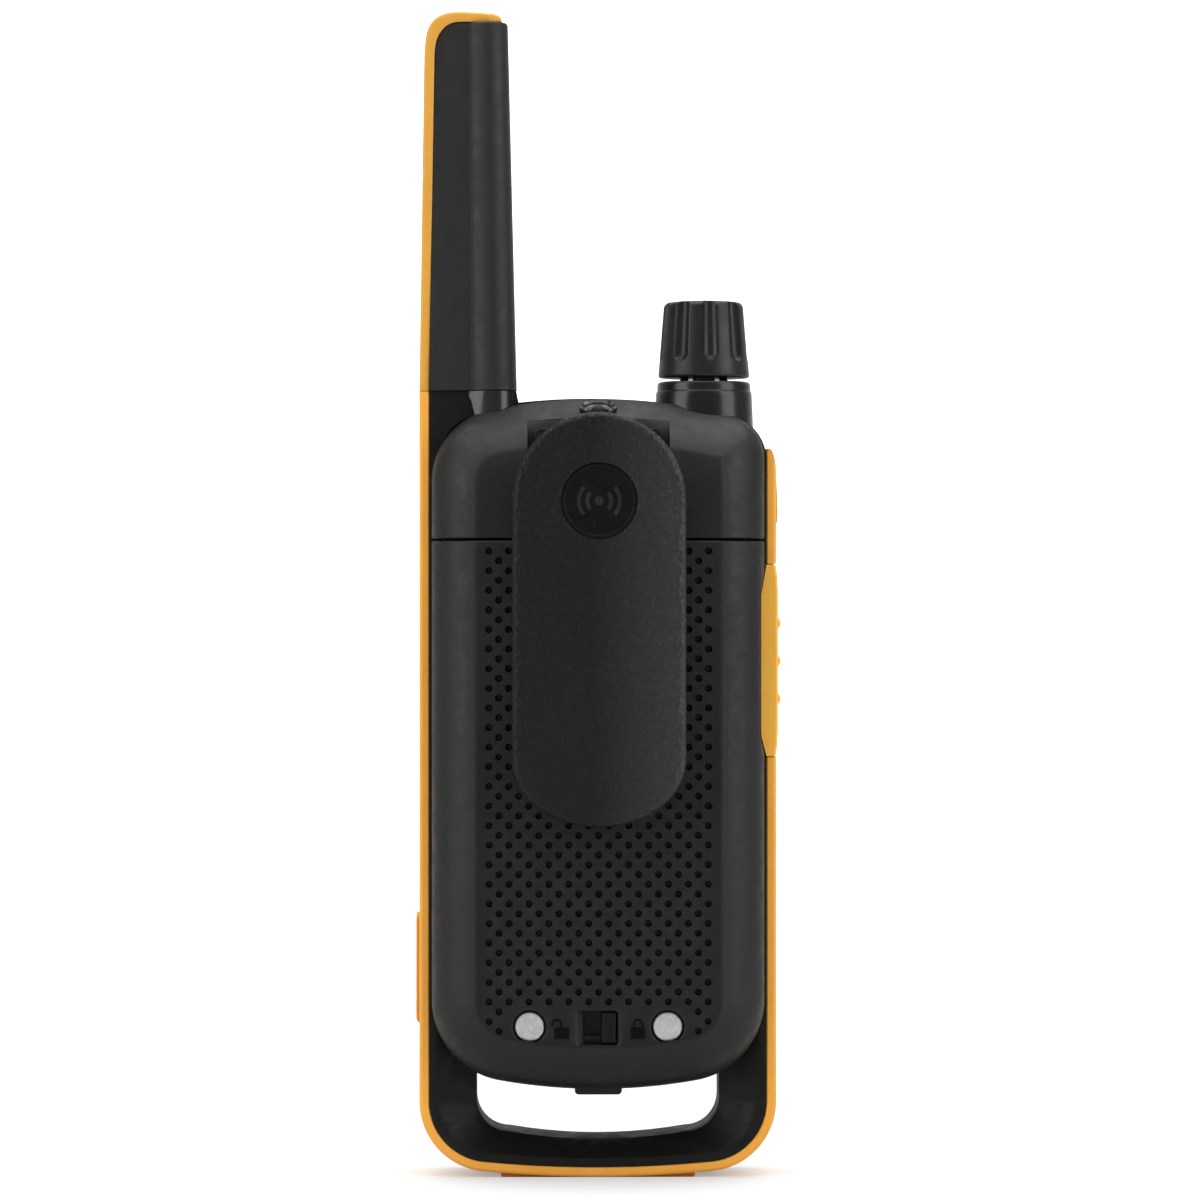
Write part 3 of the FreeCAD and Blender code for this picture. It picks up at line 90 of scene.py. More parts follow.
class Shader:
    """A material called name_mat with one Principled surface, and short ways to add nodes."""

    def __init__(self, name):
        material = bpy.data.materials.new(name + "_mat")
        material.use_nodes = True
        self.tree = material.node_tree
        self.tree.nodes.clear()
        output = self.tree.nodes.new("ShaderNodeOutputMaterial")
        self.surface = self.tree.nodes.new("ShaderNodeBsdfPrincipled")
        self.feed(output.inputs[0], self.surface.outputs[0])
        self.place = self.node("ShaderNodeTexCoord")["Object"]
        self.material = MATERIALS[name] = material

    def feed(self, socket, value):
        """Links an output to the socket, or stores a number, vector or colour in it."""
        if isinstance(value, bpy.types.NodeSocket):
            self.tree.links.new(value, socket)
        else:
            socket.default_value = value + (1.0,) if socket.type == "RGBA" else value

    def node(self, kind, inputs=None, **settings):
        made = self.tree.nodes.new(kind)
        for key, value in settings.items():
            setattr(made, key, value)
        for key, value in (inputs or {}).items():
            self.feed(made.inputs[key], value)
        return made.outputs

    def set(self, key, value):
        self.feed(self.surface.inputs[key], value)

    def stretched(self, stretch):
        if not stretch:
            return self.place
        return self.node("ShaderNodeMapping", {"Scale": stretch, 0: self.place})[0]

    def noise(self, scale, detail=3.0, rough=0.6, stretch=None):
        inputs = {"Scale": scale, "Detail": detail, "Roughness": rough,
                  "Vector": self.stretched(stretch)}
        return self.node("ShaderNodeTexNoise", inputs)["Fac"]

    def cells(self, scale, smooth=None, stretch=None):
        inputs = {"Scale": scale, "Vector": self.stretched(stretch)}
        if smooth:
            inputs["Smoothness"] = smooth
        feature = "SMOOTH_F1" if smooth else "F1"
        return self.node("ShaderNodeTexVoronoi", inputs, feature=feature)["Distance"]

    def xyz(self, vector):
        return self.node("ShaderNodeSeparateXYZ", {0: vector})

    def math(self, operation, *values, clamp=False):
        return self.node("ShaderNodeMath", dict(enumerate(values)), operation=operation,
                         use_clamp=clamp)[0]

    def add(self, a, b):
        return self.math("ADD", a, b)

    def times(self, a, b, clamp=False):
        return self.math("MULTIPLY", a, b, clamp=clamp)

    def below(self, value, limit):
        return self.math("LESS_THAN", value, limit)

    def mix(self, factor, a, b, blend="MIX"):
        return self.node("ShaderNodeMix", {"Factor": factor, 6: a, 7: b}, data_type="RGBA",
                         blend_type=blend)[2]

    def gain(self, color, amount):
        return self.mix(1.0, color, (amount,) * 3, "MULTIPLY")

    def remap(self, value, span, to=(0, 1)):
        """Maps the span of values on to another."""
        return self.node("ShaderNodeMapRange", dict(enumerate((value, *span, *to))))[0]

    def drift(self, noise, dark, light):
        return self.mix(self.remap(noise, MID), dark, light)

    def grain(self, fine, cell):
        """Height of a moulded grain, from the scales of its noise and of its cells."""
        return self.add(self.noise(fine, detail=2.0),
                        self.times(self.cells(cell, smooth=0.6), 0.8))

    def worn(self, color, worn_color, amount, pointiness, patches, edge=(0.52, 0.62),
             patch=(0.4, 0.65)):
        """Blends in the worn colour on protruding edges, in patches."""
        wear = self.times(self.remap(pointiness, edge),
                          self.remap(patches, patch, to=(0.2, 1.0)), clamp=True)
        return self.mix(self.times(wear, amount), color, worn_color)

    def bump(self, height, strength, distance, bevel=0.0):
        """Sets the surface normal; bevel is the radius of shaded edge rounding."""
        inputs = {"Strength": strength, "Distance": distance, "Height": height}
        if bevel > 0:
            inputs["Normal"] = self.node("ShaderNodeBevel", {"Radius": bevel}, samples=4)[0]
        self.set("Normal", self.node("ShaderNodeBump", inputs)[0])


# ============================================================================ material kinds
def moulded(name, color, rough, grain=2600, bump=0.30, depth=0.00003, wear=0.0, var=0.12,
            spec=0.5, bevel=0.0, streak=None, tint=None):
    """Moulded plastic or rubber: fine grain, faint colour drift, worn edges a little lighter."""
    shader = Shader(name)
    height = shader.grain(fine=grain, cell=grain * 0.55)
    if streak:
        lines = shader.noise(grain * 0.4, detail=2.0, rough=0.5, stretch=streak)
        height = shader.add(height, shader.times(lines, 1.2))
    patches = shader.noise(scale=420.0)
    base = shader.drift(shader.noise(scale=55.0, detail=4.0),
                        dark=scaled(color, 1 - var), light=scaled(color, 1 + var))
    if tint:
        base = shader.mix(shader.remap(patches, (0.45, 0.75), to=(0, 0.5)), base, tint)
    if wear > 0:
        pointiness = shader.node("ShaderNodeNewGeometry")["Pointiness"]
        base = shader.worn(base, scaled(color, 1.5, 0.02), wear, pointiness, patches)
    shader.set("Base Color", base)
    shader.set("Roughness", shader.remap(patches, MID, to=(rough - 0.08, rough + 0.08)))
    shader.set("Specular IOR Level", spec)
    shader.bump(height, bump, depth, bevel)


def rear_shell(name, side, flat, side_spec, flat_spec):
    """Coarse-grained shell: the flat back is duller than the rounded sides, and is painted
    lighter higher up where the clip shades it.
    """
    shader = Shader(name)
    height = shader.grain(fine=2000.0, cell=1150.0)
    patches = shader.noise(scale=420.0)
    geometry = shader.node("ShaderNodeNewGeometry")
    flatness = shader.remap(shader.xyz(geometry["Normal"])[1], (0.955, 0.998))
    # painted light: the flat back's colour rises to 1.55 times towards the top, lifting the shade
    # the clip casts there
    painted_light_rise = shader.remap(shader.xyz(geometry["Position"])[2], (0.056, 0.096))
    base = shader.mix(flatness, side, shader.mix(painted_light_rise, flat, scaled(flat, 1.55)))
    base = shader.drift(shader.noise(scale=55.0, detail=4.0),
                        dark=shader.gain(base, 0.88), light=shader.gain(base, 1.12))
    base = shader.worn(base, scaled(side, 1.5, 0.02), 0.4, geometry["Pointiness"], patches)
    shader.set("Base Color", base)
    shader.set("Roughness", shader.add(shader.remap(patches, MID, to=(0.38, 0.54)),
                                       shader.times(flatness, 0.03)))
    shader.set("Specular IOR Level",
               shader.add(side_spec, shader.times(flatness, flat_spec - side_spec)))
    shader.bump(height, strength=0.55, distance=0.000055)


def leather_grain(name, color, rough):
    """Moulded leather-like grain: irregular pebbles with creases, with a painted sheen: lighter
    and shinier towards the right.
    """
    shader = Shader(name)
    pebbles = shader.cells(1500.0, smooth=0.35, stretch=(1.0, 1.0, 0.75))
    small = shader.cells(2700.0, stretch=(1.0, 1.0, 0.8))
    creases = shader.noise(scale=900.0, detail=4.0, rough=0.65)
    height = shader.add(shader.times(pebbles, 1.3),
                        shader.add(shader.times(small, 0.5), shader.times(creases, 0.9)))
    base = shader.drift(shader.noise(scale=60.0), scaled(color, 0.88), scaled(color, 1.15))
    base = shader.mix(shader.remap(pebbles, (0.25, 0.6), to=(0.0, 0.35)), base,
                      scaled(color, 1.6))
    geometry = shader.node("ShaderNodeNewGeometry")
    # painted sheen: colour painted lighter and surface made shinier towards -x, standing in for
    # light falling from the right
    painted_sheen = shader.remap(shader.xyz(geometry["Position"])[0], (0.001, -0.0133))
    base = shader.mix(painted_sheen, base, shader.gain(base, 1.9))
    base = shader.worn(base, scaled(color, 1.7, 0.02), 0.45, geometry["Pointiness"], creases,
                       edge=(0.52, 0.6), patch=(0.35, 0.7))
    shader.set("Base Color", base)
    shader.set("Roughness", shader.remap(creases, MID, to=(rough - 0.08, rough + 0.10)))
    shader.set("Specular IOR Level", shader.add(0.17, shader.times(painted_sheen, 0.26)))
    shader.bump(height, strength=0.95, distance=0.00014)


def gloss(name, color, rough, coat, spec=0.5, smear=0.06):
    """Polished plastic with faint smears and tiny dust pits."""
    shader = Shader(name)
    smears = shader.noise(scale=70.0, detail=5.0, rough=0.65)
    pits = shader.noise(scale=900.0)
    shader.set("Base Color", shader.drift(smears, scaled(color, 0.9), scaled(color, 1.1, 0.001)))
    shader.set("Roughness", shader.add(
        shader.remap(smears, (0.35, 0.75), to=(rough, rough + smear)),
        shader.remap(pits, (0.6, 0.8), to=(0.0, 0.04))))
    shader.set("Specular IOR Level", spec)
    shader.set("Coat Weight", coat)
    shader.set("Coat Roughness", 0.05)
    shader.bump(pits, strength=0.03, distance=0.00002)


def metal(name, color, rough, brush=(1, 1, 1), bevel=0.0, scratch=0.15):
    """Bare or plated metal with brushing lines and light scratches."""
    shader = Shader(name)
    base = shader.noise(scale=120.0, detail=4.0)
    lines = shader.noise(scale=1800.0, stretch=brush)
    shader.set("Base Color", shader.drift(base, scaled(color, 0.86), scaled(color, 1.06)))
    shader.set("Metallic", 1.0)
    shader.set("Roughness", shader.remap(lines, (0.25, 0.75), to=(rough - 0.1, rough + 0.12)))
    shader.bump(lines, scratch, 0.00002, bevel)


def contact_metal(name):
    """Turned contact pad: concentric lines about each pad's own centre."""
    shader = Shader(name)
    x, _, z = shader.xyz(shader.place)
    across = shader.math("SUBTRACT", shader.math("ABSOLUTE", x), CONTACT_X * MM)
    up = shader.math("SUBTRACT", z, CONTACT_Z * MM)
    radius = shader.math("SQRT", shader.add(shader.times(across, across), shader.times(up, up)))
    rings = shader.math("SINE", shader.times(radius, 52000.0))
    fine = shader.noise(scale=5200.0, detail=2.0)
    spots = shader.noise(scale=1300.0, detail=4.0, rough=0.7)
    shader.set("Base Color", shader.mix(shader.remap(spots, (0.35, 0.65)),
                                        (0.55, 0.545, 0.54), (0.72, 0.715, 0.705)))
    shader.set("Metallic", 1.0)
    shader.set("Roughness", shader.remap(spots, MID, to=(0.34, 0.55)))
    shader.bump(shader.add(shader.times(rings, 0.25), shader.times(fine, 0.9)),
                strength=0.35, distance=0.00003)


def display_face(name):
    """Dark display window: black edge band round a green-grey field with a fine grid."""
    half_x, half_z, centre_z = 0.0140, 0.0094, 0.104
    lines_per_metre, line_share = 2600.0, 0.10
    shader = Shader(name)
    x, _, z = shader.xyz(shader.place)
    off_z = shader.math("ABSOLUTE", shader.math("SUBTRACT", z, centre_z))
    inside_field = shader.times(shader.below(shader.math("ABSOLUTE", x), half_x),
                                shader.below(off_z, half_z))
    cloud = shader.noise(scale=70.0, detail=4.0)
    field = shader.drift(cloud, (0.075, 0.088, 0.070), (0.095, 0.108, 0.088))
    lines = [shader.below(shader.math("FRACT", shader.times(way, lines_per_metre)), line_share)
             for way in (x, z)]
    grid = shader.times(shader.math("MAXIMUM", *lines), 0.25)
    field = shader.mix(grid, field, (0.05, 0.06, 0.048))
    shader.set("Base Color", shader.mix(inside_field, (0.010, 0.010, 0.011), field))
    shader.set("Roughness", shader.remap(cloud, (0.35, 0.75), to=(0.05, 0.12)))
    shader.set("Coat Weight", 1.0)
    shader.set("Coat Roughness", 0.03)
    shader.bump(shader.noise(scale=900.0, detail=2.0, rough=0.5), strength=0.02,
                distance=0.00002)


def circuit_board(name):
    """Solder mask with buried traces and vias."""
    shader = Shader(name)
    waves = shader.noise(scale=240.0, detail=1.0, rough=0.3, stretch=(1, 1, 0.15))
    traces = shader.below(shader.math("FRACT", shader.times(waves, 22.0)), 0.30)
    vias = shader.below(shader.cells(scale=420.0), 0.16)
    base = shader.mix(shader.times(traces, 0.5), (0.008, 0.075, 0.030), (0.020, 0.150, 0.060))
    shader.set("Base Color", shader.mix(vias, base, (0.45, 0.36, 0.16)))
    shader.set("Metallic", shader.times(vias, 0.9))
    shader.set("Roughness", shader.remap(shader.noise(scale=700.0, rough=0.55), MID,
                                         to=(0.25, 0.42)))
    shader.bump(traces, strength=0.25, distance=0.00003)


def cell_sleeve(name):
    """Shrink sleeve of a round cell: dark lower band, metallic upper band, faint wrinkles."""
    shader = Shader(name)
    top = shader.math("GREATER_THAN", shader.xyz(shader.place)[2], 0.0835)
    wrinkles = shader.noise(scale=260.0, detail=4.0, stretch=(1, 1, 0.25))
    bands = shader.mix(top, (0.018, 0.020, 0.024), (0.42, 0.26, 0.10))
    shader.set("Base Color", shader.mix(shader.remap(wrinkles, (0.4, 0.7), to=(0, 0.25)),
                                        bands, (0.12, 0.12, 0.12)))
    shader.set("Metallic", shader.times(top, 0.85))
    shader.set("Roughness", shader.remap(wrinkles, MID, to=(0.22, 0.38)))
    shader.bump(wrinkles, strength=0.15, distance=0.00006)


def speaker_cloth(name):
    """Woven cloth."""
    shader = Shader(name)
    threads = [shader.node("ShaderNodeTexWave", {"Scale": 900.0, 0: shader.place},
                           bands_direction=way)["Fac"] for way in "XZ"]
    weave = shader.times(*threads)
    shader.set("Base Color", shader.mix(weave, (0.008, 0.008, 0.008), (0.05, 0.05, 0.05)))
    shader.set("Roughness", shader.remap(shader.noise(scale=300.0, rough=0.55), MID,
                                         to=(0.6, 0.8)))
    shader.bump(weave, strength=0.6, distance=0.0001)


# ============================================================================ material list
YELLOW = dict(bump=0.22, wear=0.10, var=0.05, spec=0.35)   # satin finish of the yellow parts
PRINTED = dict(depth=0.00001)                              # almost flat grain
INNER = dict(depth=0.00004)                                # deeper grain of the rubbery parts

moulded("housing_black", (0.0074, 0.0072, 0.0066), rough=0.44, grain=2400, wear=0.25, spec=0.16)
rear_shell("rear_black", side=(0.0122, 0.0121, 0.0115), flat=(0.0108, 0.0107, 0.0101),
           side_spec=0.27, flat_spec=0.17)
moulded("loop_wall", (0.0080, 0.0080, 0.0078), rough=0.55, grain=2400, wear=0.2, spec=0.10)
moulded("bumper", (0.880, 0.392, 0.048), rough=0.46, tint=(0.88, 0.42, 0.07), **YELLOW)
moulded("antenna_trim", (0.690, 0.335, 0.043), rough=0.46, tint=(0.72, 0.36, 0.07), **YELLOW)
moulded("foot", (0.42, 0.128, 0.0165), rough=0.55, grain=1800, bump=0.40, wear=0.2, var=0.08,
        tint=(0.38, 0.115, 0.016), spec=0.3, **INNER)
moulded("talk_key", (0.985, 0.485, 0.062), rough=0.42, **YELLOW)
moulded("light_key", (0.70, 0.425, 0.105), rough=0.42, **YELLOW)
moulded("port_cover", (0.78, 0.33, 0.036), rough=0.50, grain=2200, wear=0.15, var=0.06,
        spec=0.35)
leather_grain("clip_leather", (0.0066, 0.0064, 0.0058), rough=0.42)
moulded("clip_base", (0.008, 0.008, 0.008), rough=0.42, grain=2400, bump=0.25, wear=0.3,
        bevel=0.00015, spec=0.2)
moulded("badge", (0.0042, 0.0038, 0.0030), rough=0.30, bump=0.06, spec=0.16, **PRINTED)
moulded("badge_mark", (0.0085, 0.0080, 0.0068), rough=0.36, bump=0.10, wear=0.3, spec=0.35,
        **PRINTED)
moulded("lock", (0.0052, 0.0052, 0.0050), rough=0.40, bump=0.2, wear=0.8, bevel=0.00012,
        spec=0.15)
moulded("icon", (0.0022, 0.0022, 0.0022), rough=0.50, bump=0.1, spec=0.08, **PRINTED)
contact_metal("contact")
metal("nickel", (0.66, 0.64, 0.60), rough=0.28, bevel=0.0001)
metal("spring", (0.62, 0.62, 0.62), rough=0.18, brush=(1, 1, 8))
metal("steel", (0.52, 0.52, 0.53), rough=0.25, brush=(1, 1, 12), bevel=0.0001)
moulded("antenna", (0.0105, 0.0104, 0.0100), rough=0.54, bump=0.34, depth=0.000035, wear=0.2,
        streak=(1, 1, 0.3), spec=0.36)
moulded("knob", (0.0110, 0.0110, 0.0104), rough=0.36, grain=3000, bump=0.14, depth=0.00002,
        wear=0.3, spec=0.30)
gloss("collar", (0.0070, 0.0068, 0.0064), rough=0.22, coat=0.10, spec=0.34, smear=0.08)
gloss("stub", (0.0090, 0.0090, 0.0084), rough=0.24, coat=0.12, spec=0.45)
metal("torch_chrome", (0.88, 0.88, 0.90), rough=0.36, scratch=0.03)
gloss("torch_bezel", (0.0060, 0.0060, 0.0058), rough=0.20, coat=0.2, spec=0.3)
gloss("torch_lens", (0.0075, 0.0080, 0.0078), rough=0.30, coat=0.0, spec=0.12)
display_face("display_window")
gloss("display_module", (0.22, 0.26, 0.20), rough=0.25, coat=0.2)
moulded("front_key", (0.030, 0.030, 0.031), rough=0.50, grain=2400, wear=0.4, spec=0.25)
gloss("key_legend", (0.62, 0.62, 0.60), rough=0.35, coat=0.0)
moulded("membrane", (0.16, 0.16, 0.17), rough=0.6, grain=1800, bevel=0.0001, **INNER)
moulded("seal", (0.035, 0.035, 0.038), rough=0.62, grain=1600, bevel=0.0001, **INNER)
moulded("chassis", (0.016, 0.016, 0.016), rough=0.48, grain=1900, bump=0.35, wear=0.25,
        bevel=0.0002, spec=0.25, **INNER)
cell_sleeve("cell_sleeve")
circuit_board("board")
moulded("chip", (0.020, 0.020, 0.021), rough=0.42, bump=0.25, wear=0.2, bevel=0.0001)
metal("shield", (0.66, 0.66, 0.63), rough=0.34, bevel=0.0002)
moulded("cone", (0.022, 0.022, 0.022), rough=0.75, grain=1300, bump=0.6, depth=0.00006)
metal("basket", (0.40, 0.40, 0.42), rough=0.35, bevel=0.0002)
speaker_cloth("speaker_cloth")
moulded("antenna_core", (0.70, 0.68, 0.62), rough=0.5, grain=1900, bump=0.2, bevel=0.0001)
metal("copper", (0.78, 0.40, 0.20), rough=0.22, brush=(1, 1, 6))
moulded("flex", (0.30, 0.12, 0.02), rough=0.35, bump=0.15, depth=0.00002, var=0.15,
        bevel=0.00005)


# ============================================================================ mesh helpers
class Mesh:
    """Points (mm) and faces; a row is a list of point numbers."""

    def __init__(self):
        self.points = []
        self.faces = []

    def add(self, points):
        start = len(self.points)
        self.points.extend([tuple(float(c) for c in point) for point in points])
        return list(range(start, len(self.points)))

    def strip(self, a, b, closed=False):
        count = len(a)
        for k in range(count if closed else count - 1):
            j = (k + 1) % count
            self.faces.append((a[k], a[j], b[j], b[k]))

    def skin(self, rows, closed=True, flip=False):
        for a, b in zip(rows, rows[1:]):
            self.strip(*((b, a) if flip else (a, b)), closed)

    def loft(self, rings, closed=True):
        rows = [self.add(ring) for ring in rings]
        self.skin(rows, closed)
        return rows

    def solid(self, rings):
        """Closed rings skinned together and capped at both ends."""
        rows = self.loft(rings)
        self.faces += [rows[0][::-1], rows[-1]]
        return self

    def bar(self, rings):
        """A section swept along a path: each ring is one section point's whole path."""
        rows = self.loft(rings, closed=False)
        self.strip(rows[-1], rows[0])
        self.faces += [[row[0] for row in rows], [row[-1] for row in rows][::-1]]
        return self

    def recess(self, x, z, angles, profile, surface_y):
        """Round recess from (radius, depth) stations; gives back its rim."""
        rows = self.loft([[(x + r * math.cos(t), surface_y - depth, z + r * math.sin(t))
                           for t in angles] for r, depth in profile])
        self.faces.append(rows[-1])
        return rows[0]

    def data(self, name):
        data = bpy.data.meshes.new(name)
        data.from_pydata([(x * MM, y * MM, z * MM) for x, y, z in self.points], [], self.faces)
        return data


def add_object(name, data):
    made = bpy.data.objects.new(name, data)
    bpy.context.scene.collection.objects.link(made)
    return made


def assign(piece, body=None, slot=None, replaces=()):
    if body:
        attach(piece, body)
    if replaces:
        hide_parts(*replaces)


def smooth(data, angle=None):
    data.polygons.foreach_set("use_smooth", [True] * len(data.polygons))
    if angle:
        data.set_sharp_from_angle(angle=math.radians(angle))


def set_material(data, material):
    data.materials.clear()
    data.materials.append(MATERIALS[material])


@contextmanager
def editing(data):
    bm = bmesh.new()
    bm.from_mesh(data)
    yield bm
    bm.to_mesh(data)
    bm.free()


def build(name, mesh, material, body=None, slot=None, replaces=(), angle=36.0):
    """Makes the object; edges sharper than the angle stay sharp."""
    weld = 2e-7
    data = mesh.data(name)
    data.materials.append(MATERIALS[material])
    with editing(data) as bm:
        bmesh.ops.remove_doubles(bm, verts=bm.verts, dist=weld)
        bmesh.ops.dissolve_degenerate(bm, dist=weld, edges=bm.edges)
        bmesh.ops.recalc_face_normals(bm, faces=bm.faces)
    smooth(data, angle)
    data.update()
    made = add_object(name, data)
    assign(made, body, slot, replaces)
    return made


def cut(piece, cutter):
    """Takes the cutter out of the piece and removes it."""
    boolean = piece.modifiers.new("cut", "BOOLEAN")
    boolean.object = cutter
    boolean.operation = "DIFFERENCE"
    boolean.solver = "EXACT"
    depsgraph = bpy.context.evaluated_depsgraph_get()
    depsgraph.update()
    new = bpy.data.meshes.new_from_object(piece.evaluated_get(depsgraph), depsgraph=depsgraph)
    piece.modifiers.clear()
    old = piece.data
    piece.data = new
    bpy.data.meshes.remove(old)
    bpy.data.objects.remove(cutter, do_unlink=True)


def tidy(piece, width, segments=2, angle=36.0):
    """Merges coplanar triangles, rounds the sharp edges and keeps flat faces flat."""
    with editing(piece.data) as bm:
        bmesh.ops.remove_doubles(bm, verts=bm.verts, dist=1.5e-6)
        bmesh.ops.dissolve_degenerate(bm, dist=1e-6, edges=bm.edges)
        bmesh.ops.dissolve_limit(bm, angle_limit=math.radians(0.6), verts=bm.verts,
                                 use_dissolve_boundaries=False, edges=bm.edges)
        bmesh.ops.recalc_face_normals(bm, faces=bm.faces)
    smooth(piece.data, angle)
    bevel = piece.modifiers.new("round", "BEVEL")
    bevel.width = width * MM
    bevel.segments = segments
    bevel.limit_method = "ANGLE"
    bevel.angle_limit = math.radians(angle)
    bevel.use_clamp_overlap = True
    bevel.harden_normals = True
    bevel.miter_outer = "MITER_ARC"


def refine(node, material, width, segments=2, angle=36.0):
    """A copy of a design node with its edges rounded; it stands for the node."""
    made = add_object("skin_" + node, nodes[node].data.copy())
    set_material(made.data, material)
    tidy(made, width, segments, angle)
    assign(made, BODY_OF[node], SLOT_OF[node], [node])
    return made


# ============================================================================ outlines
def arc(x, z, radius, start, stop, count):
    a = np.radians(np.linspace(start, stop, count))
    return np.stack([x + radius * np.cos(a), z + radius * np.sin(a)], 1)


def line(p, q, count):
    t = np.linspace(0, 1, count)[:, None]
    return np.array(p) * (1 - t) + np.array(q) * t


def turn(count):
    """Angles of one full turn."""
    return np.linspace(0, 2 * math.pi, count, endpoint=False)


def circle(x, z, radius, count):
    a = turn(count)
    return np.stack([x + radius * np.cos(a), z + radius * np.sin(a)], 1)


def join(*parts):
    """Chains outlines, dropping the doubled point where two meet."""
    out = [parts[0]]
    for part in parts[1:]:
        out.append(part[1:] if np.allclose(out[-1][-1], part[0], atol=1e-6) else part)
    return np.vstack(out)


def spline(points, steps, closed=False):
    """Catmull-Rom curve through the points, so many steps per span."""
    p = np.array(points, float)
    if closed:
        p = np.vstack([p[-1:], p, p[:2]])
    else:
        p = np.vstack([2 * p[0] - p[1], p, 2 * p[-1] - p[-2]])
    out = []
    for a, b, c, d in zip(p, p[1:], p[2:], p[3:]):
        for t in np.linspace(0, 1, steps, endpoint=False):
            out.append(0.5 * ((2 * b) + (-a + c) * t + (2 * a - 5 * b + 4 * c - d) * t * t
                              + (-a + 3 * b - 3 * c + d) * t ** 3))
    if not closed:
        out.append(p[-2])
    return np.array(out)


def rounded_box(a0, a1, b0, b1, r, count=6):
    return join(arc(a1 - r, b0 + r, r, -90, 0, count), arc(a1 - r, b1 - r, r, 0, 90, count),
                arc(a0 + r, b1 - r, r, 90, 180, count), arc(a0 + r, b0 + r, r, 180, 270, count))


def rounded_rect(x, z, half_x, half_z, r, count=6):
    return rounded_box(x - half_x, x + half_x, z - half_z, z + half_z, r, count)


def at_y(outline, y):
    return [(x, y, z) for x, z in outline]


def shrink(outline, amount):
    """Moves each point of a closed outline inwards along its normal."""
    ahead = np.roll(outline, -1, 0)
    along = ahead - np.roll(outline, 1, 0)
    normal = np.stack([along[:, 1], -along[:, 0]], 1)
    normal /= np.maximum(np.linalg.norm(normal, axis=1), 1e-9)[:, None]
    area = 0.5 * np.sum(outline[:, 0] * ahead[:, 1] - ahead[:, 0] * outline[:, 1])
    return outline - normal * amount * (-1 if area < 0 else 1)


def towards(points, centre, share):
    return points + (np.array(centre) - points) * share


def inside(outline, x, z):
    """Even-odd test against a closed outline."""
    b = np.roll(outline, -1, 0)
    crossed = (outline[:, 1] > z) != (b[:, 1] > z)
    painted_light_rise = np.where(crossed, b[:, 1] - outline[:, 1], 1.0)
    xs = outline[:, 0] + (z - outline[:, 1]) * (b[:, 0] - outline[:, 0]) / painted_light_rise
    return bool(np.count_nonzero(crossed & (x < xs)) % 2)


def fill(mesh, loops, y, extra=()):
    """Triangulates inside the first row and outside the others, as seen along y.

    New points and the extra (x, z) ones are put at y, a number or a function of x and z.
    """
    outlines = [np.array([(mesh.points[k][0], mesh.points[k][2]) for k in loop])
                for loop in loops]
    holes = outlines[1:]
    centres = np.array([hole.mean(0) for hole in holes]).reshape(-1, 2)
    reach = np.array([np.hypot(*(hole - c).T).max() for hole, c in zip(holes, centres)])
    edges, known = [], []
    for loop in loops:
        start, count = len(known), len(loop)
        edges.extend([(start + k, start + (k + 1) % count) for k in range(count)])
        known.extend(loop)
    flat = [point for outline in outlines for point in outline] + list(extra)
    points = [Vector((float(a), float(b))) for a, b in flat]
    verts, _, faces, origins, _, _ = delaunay_2d_cdt(points, edges, [], 1, 1e-5)
    numbers = []
    for vert, origin in zip(verts, origins):
        old = [known[i] for i in origin if i < len(known)]
        if old:
            numbers.append(old[0])
        else:
            height = y(vert.x, vert.y) if callable(y) else y
            numbers.append(mesh.add([(vert.x, height, vert.y)])[0])
    for face in faces:
        c = sum((verts[i] for i in face), Vector((0, 0))) / len(face)
        near = np.nonzero(np.hypot(centres[:, 0] - c.x, centres[:, 1] - c.y) <= reach)[0]
        if not any(inside(holes[k], c.x, c.y) for k in near):
            mesh.faces.append([numbers[i] for i in face])


# ============================================================================ solids
def prism(outline, start, stop, axis):
    """Cutter: an outline in the other two axes, extruded along the axis."""
    place = {"x": lambda a, b, c: (c, a, b),
             "y": lambda a, b, c: (a, c, b),
             "z": lambda a, b, c: (a, b, c)}[axis]
    rings = [[place(a, b, end) for a, b in outline] for end in (start, stop)]
    return build("cutter", Mesh().solid(rings), "housing_black")


def block(x, y, z, radius, axis="y", count=6):
    """Cutter: a box with its four edges along the axis (x or y) rounded."""
    if axis == "x":
        return prism(rounded_box(*y, *z, radius, count), *x, axis)
    return prism(rounded_box(*x, *z, radius, count), *y, axis)


def drum(radius, height, base, axis, count):
    """Cutter: a cylinder."""
    along = Vector(axis).normalized()
    across = along.orthogonal().normalized()
    other = along.cross(across)
    ring = [Vector(base) + across * (radius * math.cos(t)) + other * (radius * math.sin(t))
            for t in turn(count)]
    return build("cutter", Mesh().solid([ring, [p + along * height for p in ring]]),
                 "housing_black")


def revolve(name, profile, centre, material, body=None, slot=None, replaces=(), count=128,
            radius_at=None, angle=36.0, phase=0.0):
    """Turned part from a closed (radius, z) profile about a vertical axis.

    radius_at(radius, z, angle) may change the radius.
    """
    mesh = Mesh()
    rings = []
    angles = turn(count) + math.radians(phase)
    for r, z in profile:
        if r < 1e-6:
            rings.append(mesh.add([(*centre, z)]))
        else:
            radii = [radius_at(r, z, t) if radius_at else r for t in angles]
            rings.append(mesh.add([(centre[0] + q * math.cos(t), centre[1] + q * math.sin(t), z)
                                   for q, t in zip(radii, angles)]))
    for a, b in zip(rings, rings[1:] + rings[:1]):
        if len(a) > 1 and len(b) > 1:
            mesh.strip(a, b, True)
        elif len(a) + len(b) > 2:
            ring, tip = (b, a[0]) if len(a) == 1 else (a, b[0])
            mesh.faces += [(ring[k], ring[(k + 1) % count], tip) for k in range(count)]
    return build(name, mesh, material, body, slot, replaces, angle)


